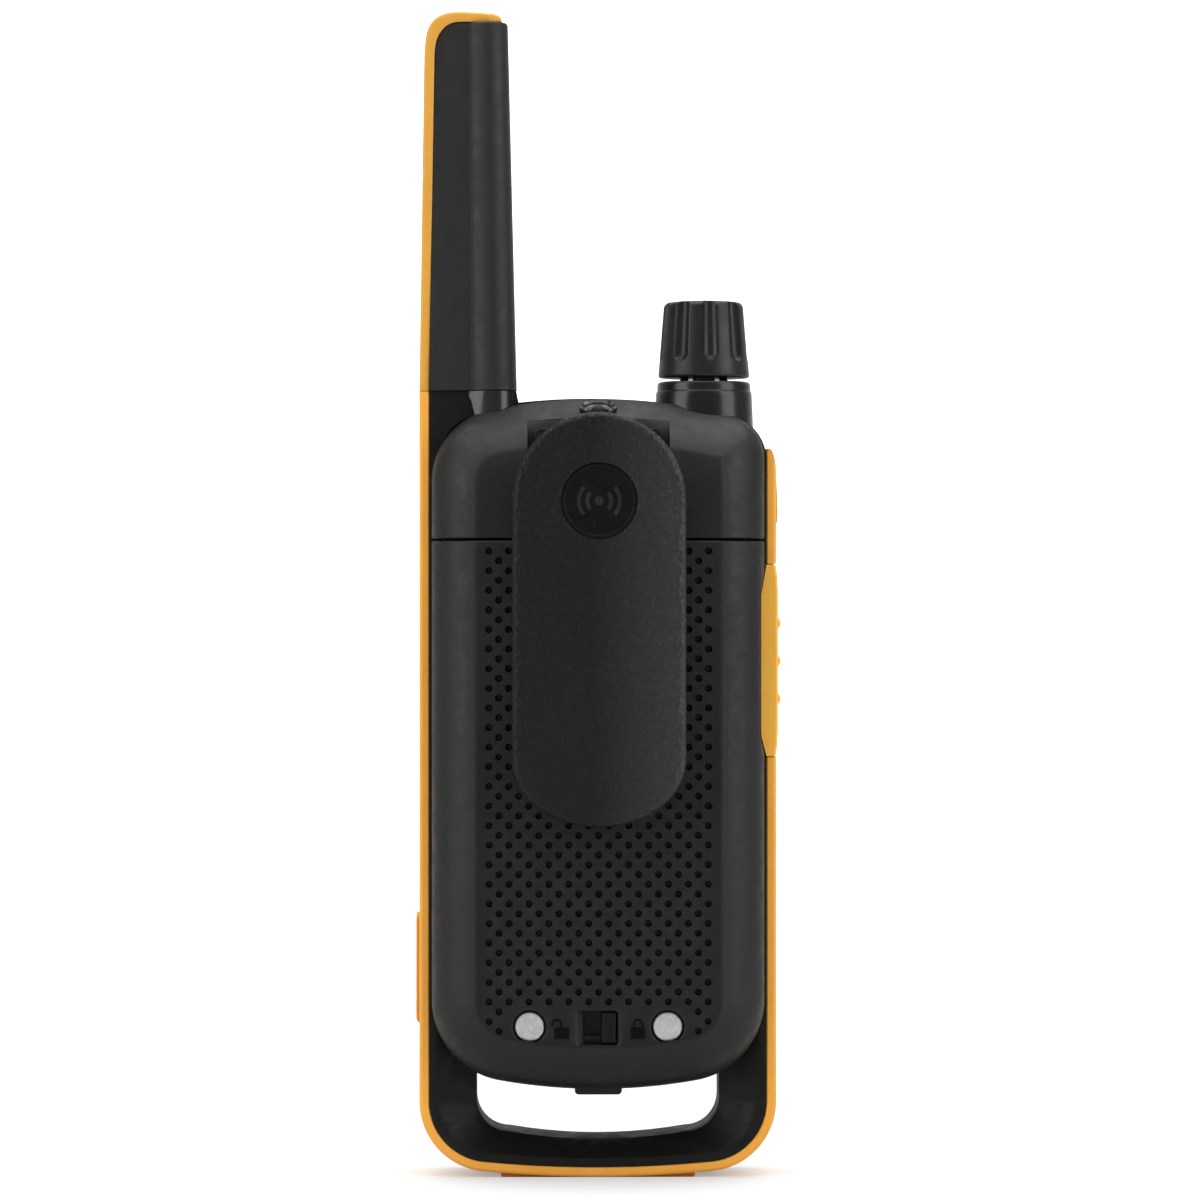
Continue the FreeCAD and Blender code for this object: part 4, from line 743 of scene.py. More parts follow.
def plate(name, outline, y0, y1, bevel, material, body=None, slot=None):
    """Raised shape from a closed outline, its edge eased at y1."""
    outline = np.array(outline)
    stations = [(0, y0), (0, y1 - bevel), (bevel * 0.3, y1 - bevel * 0.3), (bevel, y1)]
    rings = [at_y(shrink(outline, inset), y) for inset, y in stations]
    return build(name, Mesh().solid(rings), material, body, slot)


def rear_block(name, body, x, y, z, radius, count, width, segments):
    """A small block in the rear shells' black, its edges rounded by the width."""
    made = block(x, y, z, radius, count=count)
    made.name = name
    set_material(made.data, "rear_black")
    tidy(made, width, segments)
    assign(made, body, "rear_black")


# ============================================================================ body outlines
# (inset, y) of the rounded edge between the shells' sides and the flat back
EDGE = spline([(0.0, 5.6), (0.55, 7.6), (1.7, 9.5), (3.4, 11.2), (5.6, 12.6), (7.7, 13.4)], 4)
EDGE[:, 0] = np.maximum(EDGE[:, 0], 0)
EDGE = [tuple(station) for station in EDGE]

# z stations down the door's sides, closer beside the talk key
DOOR_SIDE_Z = [107.0, 105.6, 104.4, 103.5, 103.25, 102.2, 101.0, 99.9, 99.1, 98.3, 95, 91, 87,
               83, 79, 76.2, 75.2, 74.4, 73.2, 72.25, 72.0, 71.0, 68, 64, 60, 56, 52, 48, 44,
               40, 36, 33]


def bottom_arcs(half, bottom, bow, corner, inset, corner_count, bow_count):
    """Bowed bottom with round corners, from +x to -x, and the height where it starts."""
    centre_z = bottom + bow
    x = half - corner
    z = centre_z - math.sqrt((bow - corner) ** 2 - x ** 2)
    a = math.degrees(math.atan2(z - centre_z, x))
    arcs = join(arc(x, z, corner - inset, 0, a, corner_count),
                arc(0, centre_z, bow - inset, a, -180 - a, bow_count),
                arc(-x, z, corner - inset, -180 - a, -180, corner_count))
    return arcs, z


def rim_outline(inset):
    top_left, top_right = 133.8, 124.1
    x = HALF_WIDTH - inset
    arcs, z = bottom_arcs(HALF_WIDTH, RIM_BOTTOM, 200.0, 12.0, inset, 22, 60)
    return join(line((x, top_left), (x, z), 40), arcs, line((-x, z), (-x, top_right), 40))


def door_outline(inset, top):
    x = SHELL_HALF - inset
    arcs, z = bottom_arcs(SHELL_HALF, DOOR_BOTTOM, 95.0, 14.0, inset, 26, 44)
    left, right = [np.array([(side * x, s) for s in [top] + DOOR_SIDE_Z + [z]])
                   for side in (1, -1)]
    return join(left, arcs, right[::-1])


def rear_outline(inset, bottom):
    """Up the left side, over the bowed top and down the right side."""
    bow = 90.0
    centre_z = TOP_Z - bow
    x = SHELL_HALF - inset

    def shoulder(radius, side):
        corner_x = side * (SHELL_HALF - radius)
        corner_z = centre_z + math.sqrt((bow - radius) ** 2 - corner_x ** 2)
        return corner_x, corner_z, math.degrees(math.atan2(corner_z - centre_z, corner_x))

    left, right = 12.4, max(7.5, inset + 0.1)
    left_x, left_z, left_angle = shoulder(left, 1)
    right_x, right_z, right_angle = shoulder(right, -1)
    return join(line((x, bottom), (x, left_z), 14),
                arc(left_x, left_z, left - inset, 0, left_angle, 30),
                arc(0, centre_z, bow - inset, left_angle, right_angle, 60),
                arc(right_x, right_z, right - inset, right_angle, 180, 30),
                line((-x, right_z), (-x, bottom), 14))


def scallop(x, y, z):
    """Relief of the door's right side beside the talk key."""
    if x > -27 or y > 9.2 or z < 72.0 or z > 103.5:
        return x
    return max(x, float(np.interp(z, [72.0, 75.2, 99.1, 103.5],
                                  [-28.25, -27.45, -27.45, -28.25])))


def end_loop(rows, middle):
    """Cross-section at a shell's seam: the rows' first points, the flat's, the last points."""
    return [row[0] for row in rows] + middle + [row[-1] for row in rows][::-1]


# ============================================================================ battery door
WALL = 1.6
SEAM_EASE = 0.22
DIMPLE = [(0.70, 0), (0.61, 0.10), (0.585, 0.85), (0.40, 1.05)]          # radius, depth
CONTACT_SEAT = [(3.15, 0), (2.98, 0.06), (2.88, 0.22), (2.84, 0.5), (2.84, 1.25), (2.6, 1.3)]
# lock slot, its left end rising in a finger ramp: left x, right x, half height, radius, depth
LOCK_SLOT = [(3.95, -3.60, 3.20, 0.90, 0.0), (3.80, -3.42, 3.00, 0.75, 0.10),
             (3.50, -3.26, 2.86, 0.60, 0.34), (3.20, -3.20, 2.80, 0.50, 0.62),
             (2.66, -3.20, 2.80, 0.50, 1.15), (2.60, -3.20, 2.80, 0.50, 1.6)]


def dimple_places():
    """Staggered rows of 12 and 11, then pairs that run out beside the contacts."""
    half, top, row_pitch = 18.4, 106.5, 1.6457
    pitch = 2 * half / 11
    places = []
    for row in range(47):
        count, shift = (12, 0) if row % 2 == 0 else (11, 0.5)
        places += [(-half + pitch * (j + shift), top - row_pitch * row) for j in range(count)]
    for row, x in ((47, half - pitch / 2), (48, half), (49, half - pitch / 2)):
        places += [(x, top - row_pitch * row), (-x, top - row_pitch * row)]
    return places


def build_door():
    mesh = Mesh()
    # outer skin
    outer = [(0.32, SHELL_FRONT), (0.10, 2.86), (0.0, 3.08), (0.0, 4.2)] + EDGE
    outer += [(FLAT_INSET, BACK_Y)]
    seam = DOOR_TOP - SEAM_EASE
    rows = mesh.loft([[(scallop(x, y, z), y, z) for x, z in door_outline(inset, seam)]
                      for inset, y in outer], closed=False)
    xs = np.linspace(FLAT_HALF, -FLAT_HALF, 14)[1:-1]
    top = mesh.add([(x, BACK_Y, seam) for x in xs])
    # flat back: dimples, contact seats, lock slot
    loops = [rows[-1] + top[::-1]]
    angles = turn(12) + math.pi / 12
    loops += [mesh.recess(x, z, angles, DIMPLE, BACK_Y) for x, z in dimple_places()]
    loops += [mesh.recess(side * CONTACT_X, CONTACT_Z, turn(48), CONTACT_SEAT, BACK_Y)
              for side in (1, -1)]
    slot = mesh.loft([at_y(rounded_rect((left + right) / 2, 26.4, (left - right) / 2, half,
                                        radius, 7), BACK_Y - depth)
                      for left, right, half, radius, depth in LOCK_SLOT])
    loops.append(slot[0])
    fill(mesh, loops, BACK_Y)
    # inner skin
    inner = [(WALL, SHELL_FRONT)] * 3 + [(WALL, 3.6)]
    inner += [(min(inset + WALL, 9.3), y - WALL) for inset, y in EDGE]
    inner += [(9.6, BACK_Y - WALL)]
    inner_rows = [mesh.add([(max(scallop(x - 1.2, y, z) + 1.2, x) if x < -26 else x, y, z)
                            for x, z in door_outline(inset, DOOR_TOP)]) for inset, y in inner]
    mesh.skin(inner_rows, closed=False, flip=True)
    inner_top = mesh.add([(x * 18.6 / FLAT_HALF, BACK_Y - WALL, DOOR_TOP) for x in xs])
    fill(mesh, [inner_rows[-1] + inner_top[::-1], slot[-1]], BACK_Y - WALL)
    # front edge, then the eased seam edge at the top
    mesh.strip(inner_rows[0], rows[0])
    outer_end, inner_end = end_loop(rows, top), end_loop(inner_rows, inner_top)
    start, stop = [np.array([mesh.points[k][:2] for k in end]) for end in (outer_end, inner_end)]
    way = stop - start
    way = way / np.maximum(np.linalg.norm(way, axis=1), 1e-6)[:, None]
    middle = mesh.add([(x, y, DOOR_TOP) for x, y in start + way * SEAM_EASE])
    mesh.strip(outer_end, middle)
    mesh.strip(middle, inner_end)
    build("door_skin", mesh, "rear_black", "battery_door", "rear_black", ["battery_door"], 34.0)


def padlock(name, x, opened):
    """Raised padlock sign; the open one has its shackle swung to the side."""
    raised = (BACK_Y - 0.3, BACK_Y + 0.09)
    z = LOCK_Z
    look = ("icon", "battery_door", "lock_black")
    plate(name + "_body", rounded_rect(x, z - 0.75, 1.25, 0.98, 0.2, 4), *raised, 0.05, *look)
    middle = x + (0.85 if opened else 0.0)
    foot, bend, end = z + 0.2, z + 0.75, z + (0.45 if opened else 0.2)
    outer, inner = 0.92, 0.54
    outside = join(line((middle - outer, foot), (middle - outer, bend), 3),
                   arc(middle, bend, outer, 180, 0, 14),
                   line((middle + outer, bend), (middle + outer, end), 3))
    within = join(line((middle + inner, end), (middle + inner, bend), 3),
                  arc(middle, bend, inner, 0, 180, 14),
                  line((middle - inner, bend), (middle - inner, foot), 3))
    plate(name + "_shackle", np.vstack([outside, within]), *raised, 0.04, *look)


def build_contact(name, side, replaces):
    profile = [(1.2, 8.3), (1.2, 11.6), (2.45, 11.66), (2.45, 12.55), (2.40, 12.68),
               (2.28, 12.745), (2.0, 12.75), (1.0, 12.75)]     # radius, y
    rings = [at_y(circle(side * CONTACT_X, CONTACT_Z, radius, 64), y) for radius, y in profile]
    build(name, Mesh().solid(rings), "contact", "battery_door", "contact_metal", replaces, 30)


build_door()
padlock("icon_open", 6.2, True)
padlock("icon_closed", -6.6, False)
# finger tab under the door's lower edge
rear_block("door_tab", "battery_door", (-4.0, 4.0), (3.2, 7.4), (14.62, 17.2), radius=0.7,
           count=8, width=0.25, segments=3)
build_contact("contact_left", 1, ["charge_contacts"])
build_contact("contact_right", -1, ())


# ============================================================================ rear housing
def build_rear():
    mesh = Mesh()
    ease = 0.2
    seam = REAR_BOTTOM + ease

    def fall(y, z):
        """Draws y in towards the front edge, elliptically, near the top."""
        share = math.sqrt(max(1 - ((z - 115.0) / 17.75) ** 2, 0.0)) if z > 115 else 1.0
        return SHELL_FRONT + (y - SHELL_FRONT) * share

    outer = [(0.30, SHELL_FRONT), (0.08, 2.85), (0.0, 3.05), (0.0, 4.2)] + EDGE
    outer += [(FLAT_INSET, BACK_Y)]
    rows = mesh.loft([[(x, fall(y, z), z) for x, z in rear_outline(inset, seam)]
                      for inset, y in outer], closed=False)
    xs = np.linspace(FLAT_HALF, -FLAT_HALF, 30)[1:-1]
    top = mesh.add([(x, BACK_Y, seam) for x in xs])
    # back face, with extra points that stay inside its outline
    limit_x, limit_z = zip(*sorted([(a, b) for a, b in rear_outline(9.2, REAR_BOTTOM)[14:-14]]))
    extra = [(x, z) for z in np.arange(110.5, 124.2, 1.1) for x in np.arange(-18.6, 18.7, 1.4)
             if z < np.interp(x, limit_x, limit_z)]
    fill(mesh, [rows[-1] + top[::-1]], lambda x, z: fall(BACK_Y, z), extra)
    # eased seam edge, bottom and flat front face
    end = end_loop(rows, top)
    eased = []
    for x, y in [mesh.points[k][:2] for k in end]:
        if y > BACK_Y - 1e-3 and abs(x) < 20.2:
            eased.append((x, y - ease, REAR_BOTTOM))
        else:
            eased.append((x - math.copysign(ease, x), max(y - ease * 0.5, SHELL_FRONT),
                          REAR_BOTTOM))
    middle = mesh.add(eased)
    mesh.strip(end, middle)
    front = rows[0]
    mesh.faces += [middle, [front[0], middle[0], middle[-1], front[-1]] + front[1:-1][::-1]]
    piece = build("rear_skin", mesh, "rear_black", angle=34.0)

    # hollow at the front, then the clip's pocket
    cut(piece, block((-24.5, 24.5), (1.5, 7.0), (104, 122.0), 2.0))
    cut(piece, block((-12.0, 12.0), (9.2, 30), (110.0, 145), 0.5))
    # the pocket floor falls away towards the top, either side of the torch
    floor = [(9.22, 125.5), (8.03, 128.65), (7.85, 129.3), (7.85, 145.0), (25.0, 145.0),
             (25.0, 125.5)]     # y, z
    for side in (1, -1):
        cut(piece, prism(floor, side * 5.2, side * 12.0, "x"))
    # torch bore and the clearance round the knob's collar
    cut(piece, drum(3.2, 14, TORCH - TORCH_AXIS * 9.0, TORCH_AXIS, 64))
    cut(piece, drum(8.78, 30, (*KNOB, 120.0), (0, 0, 1), 160))
    # notch for the antenna stub (x, y)
    notch = [(28.9, -4.5), (28.9, 3.1), (21.8, 3.5), (20.8, 4.4), (19.0, 5.2), (16.9, 5.35),
             (14.8, 4.2), (13.75, 2.0), (13.7, -1.8), (14.6, -4.6)]
    cut(piece, prism(spline(notch, 6, closed=True), 128.4, 140.0, "z"))
    with editing(piece.data) as bm:
        bmesh.ops.dissolve_degenerate(bm, dist=2e-6, edges=bm.edges)
    smooth(piece.data, 32)
    assign(piece, "housing", "rear_black", ["rear_housing"])


build_rear()
for rail_name, rail_x in (("clip_rail_left", (9.3, 12.2)), ("clip_rail_right", (-12.2, -9.3))):
    rear_block(rail_name, "housing", rail_x, (11.0, 12.0), (110.0, 118.0), radius=0.2, count=6,
               width=0.15, segments=2)


# ============================================================================ bumper rim
def rounded_edges(radius, y0, y1, count, middle):
    """(inset, y) of an outer face between y0 and y1 with both its corners rounded."""
    angles = np.linspace(0, math.pi / 2, count)
    r = radius
    return ([(r - r * math.sin(a), y0 + r - r * math.cos(a)) for a in angles]
            + [(0.0, y) for y in middle]
            + [(r - r * math.cos(a), y1 - r + r * math.sin(a)) for a in angles])


def build_rim():
    y0, ease = -10.2, 0.2
    section = [(RIM_THICK, y0 + ease), (RIM_THICK - ease, y0)]
    section += rounded_edges(0.62, y0, PART_Y, 7, (-6.0, -1.5))
    section += [(RIM_THICK - ease, PART_Y), (RIM_THICK, PART_Y - ease)]
    rings = [at_y(rim_outline(inset), y) for inset, y in section]
    piece = build("bumper_skin", Mesh().bar(rings), "bumper", angle=40)
    # right side: openings for the talk key and the light key
    cut(piece, block((-32, -28), (-7.6, 5.0), (71.52, 104.48), 0.3, "x"))
    cut(piece, block((-32, -28), (-5.9, 0.9), (110.6, 121.7), 2.4, "x"))
    # left side: opening for the port cover, round at its top
    port = np.vstack([arc(0.2, 43.8, 1.4, 0, 90, 6), arc(-5.2, 43.8, 1.4, 90, 180, 6),
                      [(-6.6, 25.6), (1.6, 25.6)]])
    cut(piece, prism(port, 28.0, 32.0, "x"))
    # bottom: opening for the foot
    cut(piece, block((-16.7, 16.7), (-9.5, 1.8), (-2, 1.05), 0.4))
    # the short right end is rounded
    t = np.linspace(0, math.pi / 2, 18)
    end = np.stack([-29.1 - 1.3 * np.cos(t), 119.5 + 4.6 * np.sin(t)], 1)
    waste = np.vstack([end, [(-29.1, 126.0), (-33.0, 126.0), (-33.0, 119.5)]])
    cut(piece, prism(waste, -12, 5, "y"))
    smooth(piece.data, 32)
    assign(piece, "housing", "bumper_yellow", ["bumper_rim"])


build_rim()


# ============================================================================ antenna
ANTENNA_BOTTOM, ANTENNA_TOP = 133.9, 196.62
# (x, y) sections: two corners of the straight left side, then the curved ridge
SECTION_BOTTOM = np.array([
    (28.68, -4.3), (28.68, 2.9), (21.6, 3.3), (20.6, 4.2), (18.9, 5.0), (16.9, 5.1),
    (15.0, 4.0), (13.95, 1.9), (13.9, -1.8), (14.7, -4.6), (16.6, -6.2), (19.0, -6.3),
    (21.0, -5.4), (22.0, -4.7)])
SECTION_TOP = np.array([
    (27.66, -3.4), (27.66, 2.2), (22.0, 2.5), (21.2, 3.2), (19.7, 3.8), (18.2, 3.9),
    (16.6, 3.1), (15.55, 1.5), (15.4, -1.6), (16.1, -3.8), (17.7, -4.9), (19.6, -5.0),
    (21.3, -4.3), (22.2, -3.7)])
# trim's (x, z) paths up the left side and over the tip, outside and against the cover
TRIM_OUTER = [(30.4, 133.9), (30.15, 150), (29.86, 170), (29.60, 188), (29.54, 191),
              (29.42, 193), (29.10, 194.9), (28.55, 196.25), (27.7, 197.25), (26.5, 197.95),
              (25.0, 198.33), (23.5, 198.4), (20.5, 198.3), (18.2, 198.12), (17.3, 197.94),
              (16.7, 197.6), (16.4, 197.15)]
TRIM_INNER = [(28.74, 133.9), (28.48, 150), (28.16, 170), (27.87, 188), (27.81, 191),
              (27.60, 193), (27.16, 194.3), (26.62, 195.15), (25.9, 195.9), (25.0, 196.4),
              (24.2, 196.62), (23.4, 196.68), (20.5, 196.68), (18.2, 196.68), (17.3, 196.68),
              (16.7, 196.68), (16.45, 196.68)]


def antenna_section(share, inset):
    a = SECTION_BOTTOM * (1 - share) + SECTION_TOP * share
    ridge = spline(a[2:], 6)
    return shrink(np.vstack([line(a[0], a[1], 6)[:-1], line(a[1], ridge[0], 6)[:-1], ridge,
                             line(ridge[-1], a[0], 6)[1:-1]]), inset)


def antenna_side(z):
    """x of the cover's left side: straight taper, then the tip's round corner."""
    taper = 28.68 - 1.02 * (z - 133.85) / 63.15
    if z <= 190.0:
        return taper
    return float(np.interp(z, [190.0, 191.5, 193.0, 194.2, 195.2, 195.9, 196.35, 196.6],
                           [taper, 27.72, 27.5, 27.08, 26.45, 25.7, 24.9, 24.0]))


def build_antenna():
    z0, z1 = ANTENNA_BOTTOM, ANTENNA_TOP
    levels = [(z0, 0.12), (z0 + 0.12, 0.0)]     # z, inset
    levels += [(z, 0.0) for z in np.linspace(136, 188, 22)]
    levels += [(z, 0.0) for z in np.linspace(189.5, 196.2, 16)]
    levels += [(196.36, 0.04), (196.49, 0.12), (196.58, 0.25), (z1, 0.42)]
    rings = []
    for z, inset in levels:
        limit = antenna_side(z) - (0 if z < 190 else 0.03) - inset
        rings.append([(min(x, limit), y, z)
                      for x, y in antenna_section((z - z0) / (z1 - z0), inset)])
    build("antenna_skin", Mesh().solid(rings), "antenna", "housing", "antenna_black",
          ["antenna_cover"], 30)


def build_trim():
    outer, inner = spline(TRIM_OUTER, 4), spline(TRIM_INNER, 4)
    across = inner - outer
    width = np.linalg.norm(across, axis=1)
    y0, y1 = -4.0, 2.6

    def partway(stations):
        return [at_y(outer + across * share, y) for share, y in stations]

    rings = partway([(1.0, y0 + 0.1), (0.92, y0)])
    rings += [at_y(outer + across * (np.minimum(inset, width * 0.45) / width)[:, None], y)
              for inset, y in rounded_edges(0.5, y0, y1, 6, (-0.7,))]
    rings += partway([(0.92, y1), (1.0, y1 - 0.1)])
    build("antenna_trim_skin", Mesh().bar(rings), "antenna_trim", "housing", "bumper_yellow",
          ["antenna_trim"], 40)


build_antenna()
build_trim()

# ============================================================================ knob and collar
KNOB_BOTTOM, KNOB_TOP = 136.3, 149.3
KNOB_RADIUS, KNOB_TOP_RADIUS = 7.8, 6.89
KNOB_PART = ("knob", "volume_knob", "knob_black")     # material, body, slot


def knob_side(z):
    return float(np.interp(z, [KNOB_BOTTOM + 0.3, KNOB_TOP - 1.2],
                           [KNOB_RADIUS, KNOB_TOP_RADIUS]))


def flute(r, z, angle):
    """Nine grooves with crisp sides and a round lower end, up to the top's rounded edge."""
    pitch, first = 40.0, 96.4
    if z < KNOB_BOTTOM + 2.2 or r < 4.0:
        return r
    turns = (math.degrees(angle) - first) / pitch
    off = (turns - round(turns)) * pitch
    across = abs(off) / (pitch / 48) * 0.1075
    down = max(KNOB_BOTTOM + 4.05 - z, 0.0)
    square = 1.5 ** 2 - across * across - down * down
    depth = math.sqrt(square) - 0.52 if square > 0 else 0.0
    return min(r, knob_side(z) - depth) if depth > 0 else r


def build_knob():
    z0, z1 = KNOB_BOTTOM, KNOB_TOP
    profile = [(0, z0), (1.2, z0), (4.5, z0), (7.35, z0), (7.62, z0 + 0.06), (7.76, z0 + 0.22),
               (7.79, z0 + 0.45)]
    for low, high, count in ((z0 + 0.9, z0 + 2.4, 6), (z0 + 2.5, z0 + 4.2, 24),
                             (z0 + 4.5, z1 - 1.2, 18)):
        profile += [(knob_side(z), z) for z in np.linspace(low, high, count)]
    r = 1.15     # rounding of the top edge
    profile += [(KNOB_TOP_RADIUS - r + r * math.cos(a), z1 - 1.2 + r * math.sin(a))
                for a in np.linspace(0, math.pi / 2, 12)[1:]]
    profile += [(5.3, z1 - 0.01), (4.6, z1), (4.2, z1 + 0.02), (2.0, z1 + 0.10), (0, z1 + 0.15)]
    revolve("knob_skin", profile, KNOB, *KNOB_PART, ["volume_knob"], count=432,
            radius_at=flute, angle=38, phase=6.4)
    # hub and spring fingers that reach down into the collar
    revolve("knob_hub", [(0, 134.9), (1.9, 134.9), (1.9, 136.4), (0, 136.4)], KNOB, *KNOB_PART,
            count=48)
    for k in range(4):
        angles = np.linspace(math.radians(90 * k - 15), math.radians(90 * k + 15), 9)
        edge = [(r, t) for r, ts in ((4.1, angles), (2.75, angles[::-1])) for t in ts]
        rings = [[(KNOB[0] + r * math.cos(t), KNOB[1] + r * math.sin(t), z) for r, t in edge]
                 for z in (133.2, 136.4)]
        build("knob_finger_%d" % k, Mesh().solid(rings), *KNOB_PART, angle=30)
    # raised pointer line on the top
    pointer = plate("knob_pointer", rounded_rect(0, 0, 0.30, 1.3, 0.25), 0, 0.10, 0.03,
                    "key_legend")
    place = Vector((KNOB[0] * MM, (KNOB[1] + 3.3) * MM, 149.30 * MM))
    pointer.data.transform(Matrix.Translation(place) @ Matrix.Rotation(math.radians(90), 4, "X"))
    assign(pointer, *KNOB_PART[1:])


def build_collar():
    profile = [(1.35, 131.2), (1.35, 134.6), (2.3, 134.6), (2.3, 132.7), (4.6, 132.7),
               (4.6, 135.5), (4.7, 135.6), (7.5, 135.6), (7.75, 135.52), (7.92, 135.3),
               (7.97, 135.0), (8.0, 134.2), (8.03, 134.02), (8.12, 133.9), (8.2, 133.75)]
    profile += [(8.2 + 0.4 * ((133.75 - z) / 9.6) ** 0.8, z)
                for z in np.linspace(133.0, 124.2, 14)]
    profile += [(8.58, 124.0), (6.6, 124.0), (6.6, 131.2)]
    revolve("collar_skin", profile, KNOB, "collar", "housing", "collar_gloss", ["knob_collar"],
            count=160, angle=38)


build_knob()
build_collar()

# ============================================================================ belt clip
CLIP_HALF, CLIP_TOP, CLIP_BOTTOM = 14.5, 129.6, 60.4
TAIL_HEIGHT = 11.6
HEAD_Z = CLIP_TOP - CLIP_HALF         # where the round head starts
TAIL_Z = CLIP_BOTTOM + TAIL_HEIGHT    # where the elliptic tail starts
CLIP_INNER, CLIP_OUTER = 18.4, 21.0   # y of the paddle's two faces
CLIP_PART = ("clip_leather", "belt_clip", "clip_black")     # material, body, slot


def clip_outline(inset):
    """Round head, straight sides, elliptic tail."""
    x = CLIP_HALF - inset
    a = np.linspace(math.pi, 2 * math.pi, 64)
    tail = np.stack([x * np.cos(a), TAIL_Z + (TAIL_HEIGHT - inset) * np.sin(a)], 1)
    return np.vstack([arc(0, HEAD_Z, x, 0, 180, 64), line((-x, HEAD_Z), (-x, TAIL_Z), 40)[1:-1],
                      tail, line((x, TAIL_Z), (x, HEAD_Z), 40)[1:-1]])


def paddle_grid():
    """Points spread over the paddle's face, clear of its edge and the badge."""
    half = 11.4

    def reach(z):
        if z > HEAD_Z:
            return half * math.sqrt(max(1 - ((z - HEAD_Z) / half) ** 2, 0))
        if z > TAIL_Z:
            return half
        return half * math.sqrt(max(1 - ((TAIL_Z - z) / 8.6) ** 2, 0))

    return [(x, z) for z in np.arange(62.0, 129.0, 1.5) for x in np.arange(-12.0, 12.1, 1.5)
            if abs(x) < reach(z) and math.hypot(x, z - BADGE_Z) > 7.4]


def build_paddle():
    mesh = Mesh()
    y0, y1 = CLIP_INNER, CLIP_OUTER
    edge = [(1.0, y0), (0.45, y0 + 0.03), (0.16, y0 + 0.16), (0.03, y0 + 0.42), (0.0, y0 + 0.7),
            (0.0, y1 - 1.15), (0.06, y1 - 0.80), (0.22, y1 - 0.48), (0.48, y1 - 0.22),
            (0.82, y1 - 0.07), (1.2, y1 - 0.01), (1.6, y1), (2.1, y1)]     # inset, y
    rows = mesh.loft([at_y(clip_outline(inset), y) for inset, y in edge])
    # outer face with the badge recess (radius, depth)
    seat = [(6.9, 0), (6.52, 0), (6.42, 0.04), (6.36, 0.16), (6.36, 0.75)]
    rim = mesh.recess(0, BADGE_Z, turn(96), seat, y1)
    grid = paddle_grid()
    fill(mesh, [rows[-1], rim], y1, grid)
    # inner face with a shallow stiffening frame
    frame_rows = [rows[0]] + [mesh.add(at_y(clip_outline(inset), y)) for inset, y in
                              ((2.6, y0), (3.0, y0 + 0.5), (3.6, y0 + 0.5))]
    mesh.skin(frame_rows, flip=True)
    inner_grid = [(x, z) for x, z in grid
                  if math.hypot(x, max(z - HEAD_Z, 0, (TAIL_Z - z) * 1.25)) < 9.5]
    inner_grid += [(0.0, 114.0), (3.0, 113.0), (-3.0, 113.0)]
    fill(mesh, [frame_rows[-1]], y0 + 0.5, inner_grid)
    build("clip_paddle", mesh, *CLIP_PART, ["belt_clip"], 34)


def build_lip():
    """Grip lip across the tail, its ends eased."""
    profile = spline([(18.9, 62.4), (17.2, 62.7), (15.8, 63.3), (15.05, 64.3), (14.95, 65.3),
                      (15.4, 66.4), (16.6, 67.8), (17.8, 69.4), (18.9, 71.3)], 5)     # y, z
    stations = ((-9.0, 0.5), (-8.85, 0.18), (-8.5, 0.0), (-4, 0.0), (0, 0.0), (4, 0.0),
                (8.5, 0.0), (8.85, 0.18), (9.0, 0.5))     # x, easing
    rings = [[(x, y, z) for y, z in towards(profile, (18.0, 66.2), ease / 4.0)]
             for x, ease in stations]
    build("clip_lip", Mesh().solid(rings), *CLIP_PART, angle=34)


def build_knuckle(name, side, bore_x):
    """Knuckle round the clip's pin."""
    radius = 2.2
    bend = [(PIN_Y + radius * math.sin(a), PIN_Z + radius * math.cos(a))
            for a in np.linspace(0, -math.pi, 20)]
    outline = np.array([(18.8, 121.9), (17.6, 121.75)] + bend + [(17.6, 117.25), (18.8, 117.1)])
    stations = ((8.7, 0.12), (8.85, 0.0), (10.55, 0.0), (10.7, 0.12))     # x, easing
    rings = [[(side * x, y, z) for y, z in towards(outline, (16.0, PIN_Z), ease / 3.0)]
             for x, ease in stations]
    piece = build(name, Mesh().solid(rings), CLIP_PART[0], angle=34)
    cut(piece, drum(1.16, 6, (bore_x, PIN_Y, PIN_Z), (1, 0, 0), 40))
    smooth(piece.data, 34)
    assign(piece, *CLIP_PART[1:])


def build_badge():
    """Round badge with a generic sign: a dot with two pairs of radio waves."""
    profile = [(0, 20.25), (6.2, 20.25), (6.25, 20.3), (6.25, 20.72), (6.2, 20.81),
               (6.08, 20.85), (5.85, 20.85), (5.76, 20.83), (5.70, 20.78), (5.66, 20.70),
               (0, 20.70)]
    badge = revolve("badge_skin", profile, (0, 0), "badge", angle=30)
    badge.data.transform(Matrix.Translation(Vector((0, 0, BADGE_Z * MM)))
                         @ Matrix.Rotation(math.radians(-90), 4, "X"))
    assign(badge, "belt_clip", "badge_gloss", ["clip_badge"])
    sign = (20.6, 20.79, 0.04, "badge_mark", "belt_clip", "badge_gloss")
    plate("badge_dot", circle(0, BADGE_Z, 0.75, 32), *sign)
    for k, radius in enumerate((2.0, 3.4)):
        for middle, side in ((0, "left"), (180, "right")):
            wave = np.vstack([arc(0, BADGE_Z, radius + 0.32, middle - 42, middle + 42, 18),
                              arc(0, BADGE_Z, radius - 0.32, middle + 42, middle - 42, 18)])
            plate("badge_wave_%s_%d" % (side, k), wave, *sign)


build_paddle()
build_lip()
build_knuckle("clip_knuckle_left", 1, bore_x=8.0)
build_knuckle("clip_knuckle_right", -1, bore_x=-12.5)
build_badge()


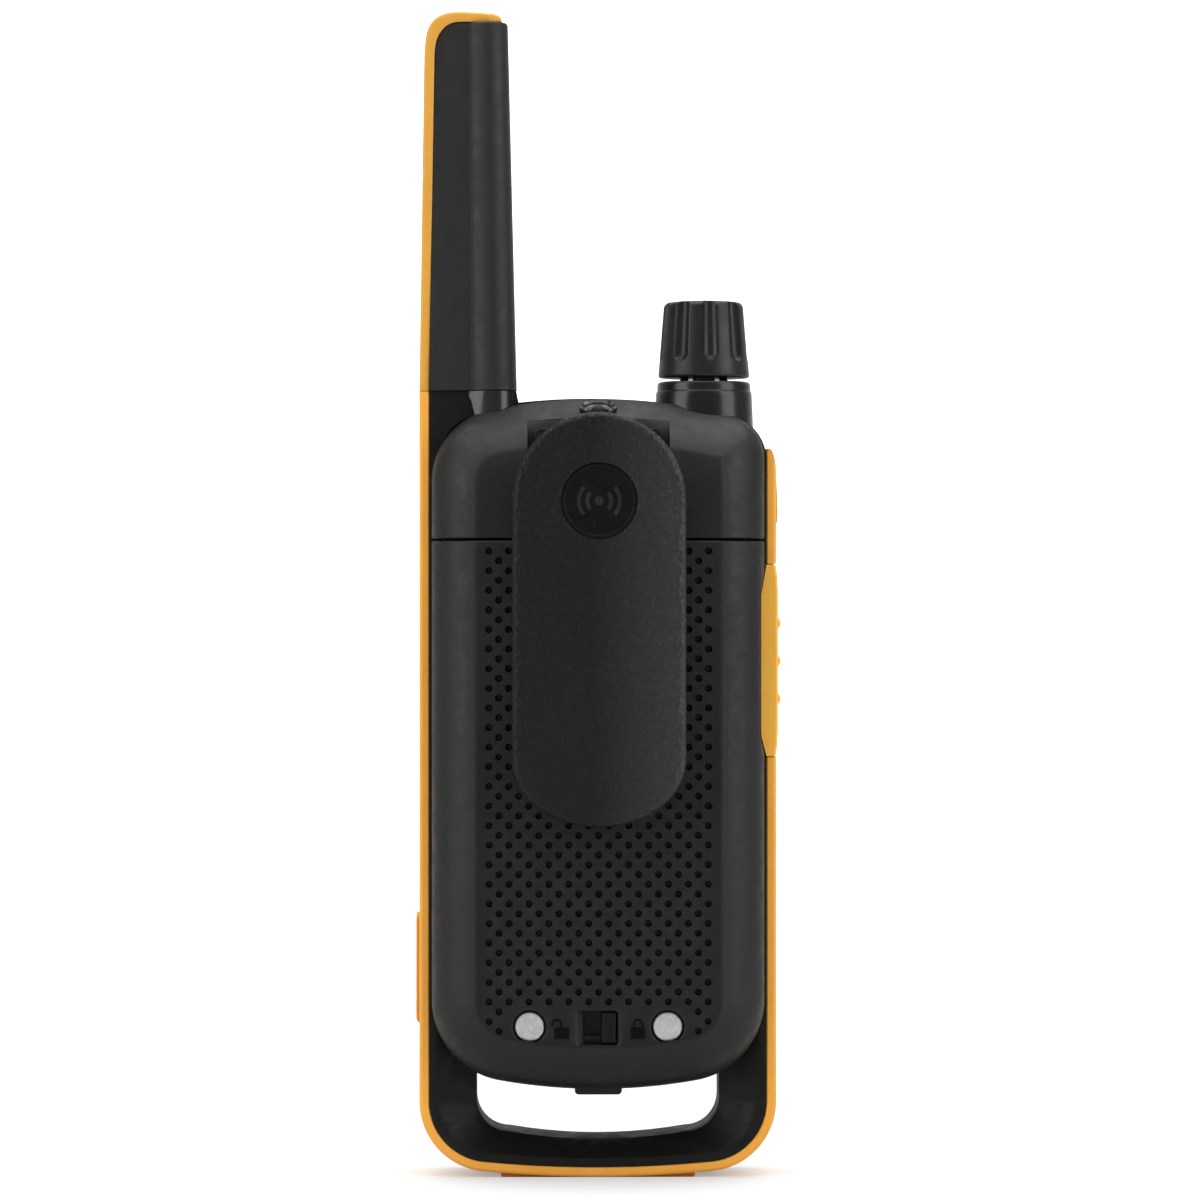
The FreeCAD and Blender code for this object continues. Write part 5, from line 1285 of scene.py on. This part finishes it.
# ============================================================================ design nodes
def refine_front_housing():
    """Adds the glossy antenna stub and the walls of the opening near the bottom."""
    data = refine("front_housing", "housing_black", 0.22, angle=40).data
    data.materials.append(MATERIALS["stub"])
    data.materials.append(MATERIALS["loop_wall"])
    for face in data.polygons:
        x, y, z = face.center
        if (abs(face.normal.y) < 0.5 and abs(x) < 0.0212 and 0.0055 < z < 0.0200
                and -0.0115 < y < 0.0030):
            face.material_index = 2
        elif y > 0.0027 and z > 0.1285 and x < 0.0228:
            face.material_index = 1


def refine_reflector():
    """Chrome beyond 1.85 mm from the torch's axis, black within."""
    data = refine("torch_reflector", "torch_bezel", 0.05, segments=1).data
    data.materials.append(MATERIALS["torch_chrome"])
    for face in data.polygons:
        off = face.center - TORCH * MM
        off -= TORCH_AXIS * off.dot(TORCH_AXIS)
        if off.length > 0.00185:
            face.material_index = 1


refine_front_housing()
# node, material, edge rounding (mm), segments
for row in (("foot_pad", "foot", 0.12, 2),
            ("ptt_button", "talk_key", 0.25, 3),
            ("light_button", "light_key", 0.15, 2),
            ("port_cover", "port_cover", 0.15, 2),
            ("door_lock", "lock", 0.12, 2),
            ("clip_base", "clip_base", 0.12, 2),
            ("key_up", "front_key", 0.12, 2),
            ("key_down", "front_key", 0.12, 2),
            ("key_menu", "front_key", 0.12, 2),
            ("key_call", "front_key", 0.12, 2),
            ("display_window", "display_window", 0.12, 2),
            ("torch_bezel", "torch_bezel", 0.1, 2)):
    refine(*row)
refine_reflector()

# nodes that keep their own mesh, by material
PAINTED = {
    "steel": "clip_pin housing_screws volume_shaft",
    "spring": "clip_spring battery_springs",
    "chassis": "battery_chassis",
    "cell_sleeve": "battery_cells",
    "nickel": "battery_contacts usb_port",
    "seal": "battery_seal housing_seal",
    "antenna_core": "antenna_core",
    "copper": "antenna_coil antenna_feed",
    "chip": "volume_switch board_chips accessory_jack side_switches",
    "membrane": "keypad_membrane",
    "display_module": "display_module",
    "cone": "speaker_cone",
    "basket": "speaker_frame microphone",
    "speaker_cloth": "speaker_mesh",
    "board": "main_board",
    "shield": "shield_can",
    "flex": "side_flex",
    "torch_lens": "torch_led",
}
for material_name, painted in PAINTED.items():
    for node_name in painted.split():
        set_material(nodes[node_name].data, material_name)
        smooth(nodes[node_name].data, 36.0)


def key_sign(name, outline, body):
    """Generic raised sign on a front key, built towards +Y and mirrored to face -Y."""
    sign = plate(name, outline, 0, 0.14, 0.03, "key_legend")
    sign.data.transform(Matrix.Translation(Vector((0, -14.12 * MM, 0)))
                        @ Matrix.Scale(-1, 4, Vector((0, 1, 0))))
    sign.data.flip_normals()
    assign(sign, body, "front_key_rubber")


key_sign("sign_up", [(-1.5, 84.0), (1.5, 84.0), (0.0, 86.0)], "key_up")
key_sign("sign_down", [(-1.5, 72.0), (0.0, 70.0), (1.5, 72.0)], "key_down")
for k in range(3):
    key_sign("sign_menu_%d" % k, rounded_rect(12.4, 79.4 - 1.4 * k, 1.6, 0.28, 0.25, 4),
             "key_menu")
key_sign("sign_call", circle(-12.4, 78.0, 0.9, 28), "key_call")


# ============================================================================ stage
def build_stage():
    """Floor that curves up into a wall behind the radio's front (-Y)."""
    profile = [(1400.0, 0.0), (0.0, 0.0), (-500.0, 0.0)]     # y, z
    profile += [(-500 - 400 * math.sin(a), 400 - 400 * math.cos(a))
                for a in np.linspace(0, math.pi / 2, 14)[1:]]
    profile += [(-900.0, 1800.0)]
    mesh = Mesh()
    mesh.loft([[(x, y, z) for x in (-2200, -700, 0, 700, 2200)] for y, z in profile],
              closed=False)
    data = mesh.data("stage_sweep")
    smooth(data)
    shader = Shader("stage")
    cloud = shader.noise(scale=6.0, detail=2.0, rough=0.5)
    shader.set("Base Color", shader.mix(cloud, (0.61, 0.61, 0.61), (0.63, 0.63, 0.63)))
    shader.set("Roughness", 0.85)
    shader.set("Specular IOR Level", 0.15)
    # a glow only the camera sees, stronger towards the wall
    seen = shader.node("ShaderNodeLightPath")["Is Camera Ray"]
    glow = shader.remap(shader.xyz(shader.place)[1], (-0.10, -0.55), to=(0.31, 0.80))
    shader.set("Emission Color", (1.0, 1.0, 1.0))
    shader.set("Emission Strength", shader.times(seen, glow))
    data.materials.append(shader.material)
    add_object("stage_sweep", data)


def aim(name, data, location, target):
    made = add_object(name, data)
    made.location = location
    made.rotation_euler = (Vector(target) - Vector(location)).to_track_quat("-Z", "Y").to_euler()
    return made


def area_light(name, location, target, size, power):
    light = bpy.data.lights.new(name, "AREA")
    light.shape = "RECTANGLE"
    light.size, light.size_y = size
    light.energy = power
    aim(name, light, location, target)


build_stage()
area_light("key_left", location=(0.78, 0.48, 0.38), target=(0, 0, 0.1), size=(0.55, 0.9),
           power=5.0)
area_light("key_right", location=(-0.78, 0.46, 0.38), target=(0, 0, 0.1), size=(0.55, 0.9),
           power=4.9)
area_light("top_soft", location=(0.0, 0.15, 1.0), target=(0, 0, 0.05), size=(1.1, 0.8),
           power=6.4)
area_light("back_wash", location=(0.0, -0.25, 1.1), target=(0, -0.75, 0.25), size=(1.6, 0.5),
           power=8.0)

world = bpy.data.worlds.new("studio")
world.use_nodes = True
background = world.node_tree.nodes["Background"]
background.inputs["Color"].default_value = (1.0, 1.0, 1.0, 1)
background.inputs["Strength"].default_value = 0.30

scene = bpy.context.scene
scene.world = world
camera = bpy.data.cameras.new("cam")
camera.lens = 140.6
camera.sensor_width = 36.0
camera.clip_start = 0.01
camera.clip_end = 20.0
scene.camera = aim("cam", camera, location=(0.0096, 0.800, 0.0983),
                   target=(-0.00038, 0.0, 0.0983))
scene.view_settings.view_transform = "Standard"
scene.view_settings.look = "None"
